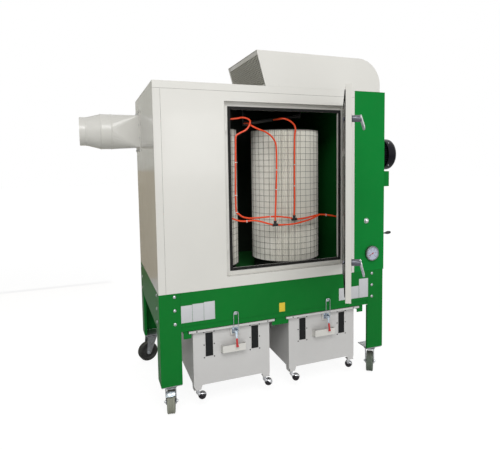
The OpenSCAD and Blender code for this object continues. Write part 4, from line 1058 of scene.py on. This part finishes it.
    # Ball casters: black ball under a leaning chromed hood, on a bent neck
    ball_r, ball_z, inset = BALL["r"], BALL["z"], BALL["inset"]
    hoods = bmesh.new()
    balls = bmesh.new()
    for k, (trail, lean_to) in enumerate(turns):
        x = middle + (k % 2 * 2 - 1) * (BIN["wide"] / 2 - inset)
        y = front + inset + k // 2 * (BIN["deep"] - 2 * inset)
        under = BIN["floor"] - BIN["caster_under"]
        turned(hoods, HEX_COLLAR, (x, y, under - 4), steps=6)
        foot, r = ball_z + BALL["stem_up"], BALL["stem_r"]
        turned(hoods, [(0, 0), (0, r - 1.4), (2, r), (under - 2 - foot, r)], (x, y, foot), steps=24)
        ahead = Vector((cos(radians(trail)), sin(radians(trail)), 0))
        away = ahead * sin(BALL["neck"]) + Vector((0, 0, cos(BALL["neck"])))
        turned(hoods, [(0, 9), (2, 10), (24, 10)], (x, y, foot + 2), away, 24)
        centre = Vector((x, y, ball_z)) + BALL["trail"] * ahead
        pole = Vector((cos(radians(lean_to)), sin(radians(lean_to)), 0)) * sin(BALL["lean"])
        pole.z = cos(BALL["lean"])
        shell = ball_r + BALL["hood_t"]
        lip = [(0, shell - 1.6), (-1.2, shell - 1.2), (-1.2, shell - 0.4)]
        for shape, start, r, first in ((hoods, lip, shell, 0), (balls, [(-ball_r, 0)], ball_r, -81)):
            arc = [(r * sin(radians(a)), r * cos(radians(a))) for a in range(first, 90, 9)]
            turned(shape, start + arc + [(r, 0)], centre, pole, 48)
    casters = body + "_ball_casters"
    piece(body + "_caster_hoods", hoods, chrome, body, smooth=50, stands_for=casters)
    piece(body + "_caster_balls", balls, ball_black, body, smooth=60, stands_for=casters)

# -------- Swivel casters
# Heavy swivel casters under the legs: a slotted plate, a pressed and zinc-plated fork
# with a ball race, and a wheel with a rubber tyre on a bolt through it. One has a brake.

dress(["caster_plates"], zinc_plating, 1.0, 50)
# The tyres are one rubber; their colours differ from caster to caster as painted light and shade
CASTERS = [("front_left", 66, 66, -11, (0.30, 0.31, 0.25, 1)),  # X, Y, turn and tyre
           ("front_right", 1559, 66, -36, (0.10, 0.13, 0.10, 1)),
           ("rear_left", 66, 989, 104, (0.035, 0.037, 0.034, 1)),
           ("rear_right", 1559, 989, 165, (0.16, 0.17, 0.14, 1))]
WHEEL_R = 75
WHEEL_HALF = 25  # half its width
TRAIL = 42
FORK_TOP = 202
FORK_OUT = 33  # X of the fork's outer face
GROOVES = (-10, 0, 10)
TREAD_EDGE = [(4, -15), (1, -12), (0, -6), (2, -2)]  # in from the side, out from the rim
BRAKED = "front_left"
PEDAL_FOOT = (0, -19, 140)  # from the swivel's axis
PEDAL_LEAN = radians(-40)
PEDAL_HALF = 28  # half its width
PEDAL_LONG = 30

bright_zinc = plated_metal("bright_zinc", (0.52, 0.57, 0.60, 1), 0.35, (0.34, 0.39, 0.42, 1), 0.05)
hub_black = painted("hub_black", (0.015, 0.015, 0.016, 1), 0.45, 0.1, 0.003, 0.35)
half, rim = WHEEL_HALF, WHEEL_R
edge = [(half - d, rim + r) for d, r in TREAD_EDGE]
tread = [(-x, r) for x, r in edge] + [(-half + 5, rim)]
for c in GROOVES:
    tread += [(c - 2.2, rim), (c - 1.4, rim - 2.2), (c + 1.4, rim - 2.2), (c + 2.2, rim)]
tread += [(half - 5, rim)] + edge[::-1]
hub = [(half - 4, rim - 13), (half - 2.6, rim - 16), (half - 4, rim - 20), (half - 9, rim - 24),
       (half - 10, 32), (half - 6, 24), (half + 1, 20), (half + 2, 18), (half + 2, 6.2)]
around = (0, TRAIL, WHEEL_R)
for corner, x, y, turn, painted_light_tyre in CASTERS:
    swivel = at((x, y, 0), radians(turn), "Z")
    caster, wheel = "caster_" + corner, "wheel_" + corner
    dress(["fork_" + corner], zinc_plating, 1.2, 40)

    mesh = bmesh.new()
    turned(mesh, [(0, 40.2), (2, 42), (5, 42), (7, 40.2)], (0, 0, FORK_TOP - 7.6), (0, 0, 1), 48, swivel)
    for side in (-1, 1):
        end = (side * FORK_OUT, TRAIL, WHEEL_R)
        turned(mesh, [(0, 10), (6, 10), (7, 8.6), (7, 6), (11, 5.6), (12, 4), (12, 0)], end,
               (side, 0, 0), 6, swivel)
        turned(mesh, [(-0.2, 14), (1.6, 14), (1.6, 8)], end, (side, 0, 0), 28, swivel)
    piece("caster_nuts_" + corner, mesh, zinc_plating, caster)
    if corner == BRAKED:
        mesh = bmesh.new()
        pedal = swivel @ at(PEDAL_FOOT, PEDAL_LEAN, "X")
        block(mesh, (-PEDAL_HALF, -2.5, 0), (PEDAL_HALF, 0, PEDAL_LONG), 1.0, pedal)
        block(mesh, (-PEDAL_HALF - 5, -5, -6), (PEDAL_HALF - 12, -1, 3), 1.4, pedal)
        piece("caster_brake_" + corner, mesh, bright_zinc, caster)

    mesh = bmesh.new()
    turned(mesh, tread, around, RIGHT, 96, swivel)
    # Each tyre's colour carries painted light or shade for its corner
    tyre = rubber("tyre_" + corner, painted_light_tyre, 0.62, 0.002, 0.3)
    piece(wheel + "_tyre", mesh, tyre, wheel, stands_for=wheel)
    mesh = bmesh.new()
    for side in (-1, 1):
        turned(mesh, hub, around, (side, 0, 0), 64, swivel)
        for k in range(6):
            spoke = swivel @ at(around, radians(60 * k), "X")
            low, high = sorted((side * (half - 11), side * (half - 5)))
            block(mesh, (low, -2.2, 20), (high, 2.2, 55), 0.8, spoke)
    piece(wheel + "_hub", mesh, hub_black, wheel, stands_for=wheel)

# -------- Stage, light and camera
# A plain white floor and backdrop, one large soft lamp from the front left and above
# and a weak one in front. The glossy left wall mirrors grey and brown panels.

FLOOR_THROWS = 0.78  # the share of light that it throws back
FLOOR_SEEN = (0.20, 0.90)  # the share that shows a shadow, and the white below it
FLOOR_HALF = 30  # half its width, in metres
WORLD_SOFT = 0.5


def grey(level):
    return (level, level, level, 1)


def sheet(name, size, finish):
    """A flat square in the scene that is no part of the object."""
    mesh = bmesh.new()
    bmesh.ops.create_grid(mesh, x_segments=1, y_segments=1, size=size)
    made = stand(name, closed(name, mesh, finish))
    return made


floor, tree, shader = material("floor", Roughness=0.9, Specular_IOR_Level=0.05, Emission_Strength=1.0)
watched = add(tree, "ShaderNodeLightPath").outputs["Is Camera Ray"]
fill(tree, shader, {"Base Color": mixed(tree, watched, grey(FLOOR_THROWS), grey(FLOOR_SEEN[0])),
                    "Emission Color": mixed(tree, watched, grey(0), grey(FLOOR_SEEN[1]))})
sheet("floor", FLOOR_HALF, floor)

world = bpy.data.worlds.new("studio")
bpy.context.scene.world = world
world.use_nodes = True
tree = world.node_tree
back = tree.nodes["Background"]
back.inputs["Color"].default_value = grey(1)
soft = add(tree, "ShaderNodeBackground", {"Color": grey(1), "Strength": WORLD_SOFT})
path = add(tree, "ShaderNodeLightPath").outputs
direct = maths(tree, "MAXIMUM", path["Is Camera Ray"],
               maths(tree, "MAXIMUM", path["Is Glossy Ray"], path["Is Transmission Ray"]))
both = add(tree, "ShaderNodeMixShader", {0: direct, 1: soft.outputs[0], 2: back.outputs[0]})
fill(tree, tree.nodes["World Output"], {"Surface": both.outputs[0]})

LAMPS = [("key", (-1.4, -4.6, 5.0), (0, 0, 1.5), (3.6, 2.4), 190),  # at, towards, size, watts
         ("front", (0.6, -4.6, 1.9), (0.3, 0.3, 1.4), (1.2, 1.0), 20)]
for name, spot, towards, size, watts in LAMPS:
    light = bpy.data.lights.new(name, "AREA")
    light.shape = "RECTANGLE"
    light.size, light.size_y = size
    light.energy = watts
    made = stand(name, light)
    made.location = spot
    made.rotation_euler = (Vector(towards) - Vector(spot)).to_track_quat("-Z", "Y").to_euler()

PANELS = [("flag_left", (-4.0, 0.4, 2.0), (0, pi / 2, 0), 4, (0.30, 0.30, 0.28, 1)),
          ("flag_behind", (-3.2, 3.6, 2.0), (pi / 2, 0, 0), 2.3, (0.85, 0.84, 0.77, 1)),
          ("flag_behind_low", (-3.2, 3.5, -0.8), (pi / 2, 0, 0), 2.3, (0.62, 0.53, 0.38, 1))]
for name, spot, turn, size, colour in PANELS:
    plain, tree, shader = material(name, Roughness=1.0, Specular_IOR_Level=0.0, Base_Color=colour)
    made = sheet(name, size, plain)
    made.location = spot
    made.rotation_euler = turn
    made.visible_camera = False

EYE = (-347.8, -2752.3, 1620.1)
YAW = 0.3864
PITCH = -0.0795
ROLL = -0.0107
lens = bpy.data.cameras.new("camera")
lens.sensor_width = 36
lens.lens = 32.486
lens.shift_x = -0.0506
lens.shift_y = -0.0569
camera = stand("camera", lens)
ahead = Vector((sin(YAW) * cos(PITCH), cos(YAW) * cos(PITCH), sin(PITCH)))
right = Vector((cos(YAW), -sin(YAW), 0))
above = right.cross(ahead)
right, above = right * cos(ROLL) + above * sin(ROLL), above * cos(ROLL) - right * sin(ROLL)
turn = Matrix((right, above, -ahead)).transposed().to_4x4()
camera.matrix_world = Matrix.Translation(place(*EYE)) @ turn
bpy.context.scene.camera = camera
bpy.context.scene.view_settings.view_transform = "Standard"
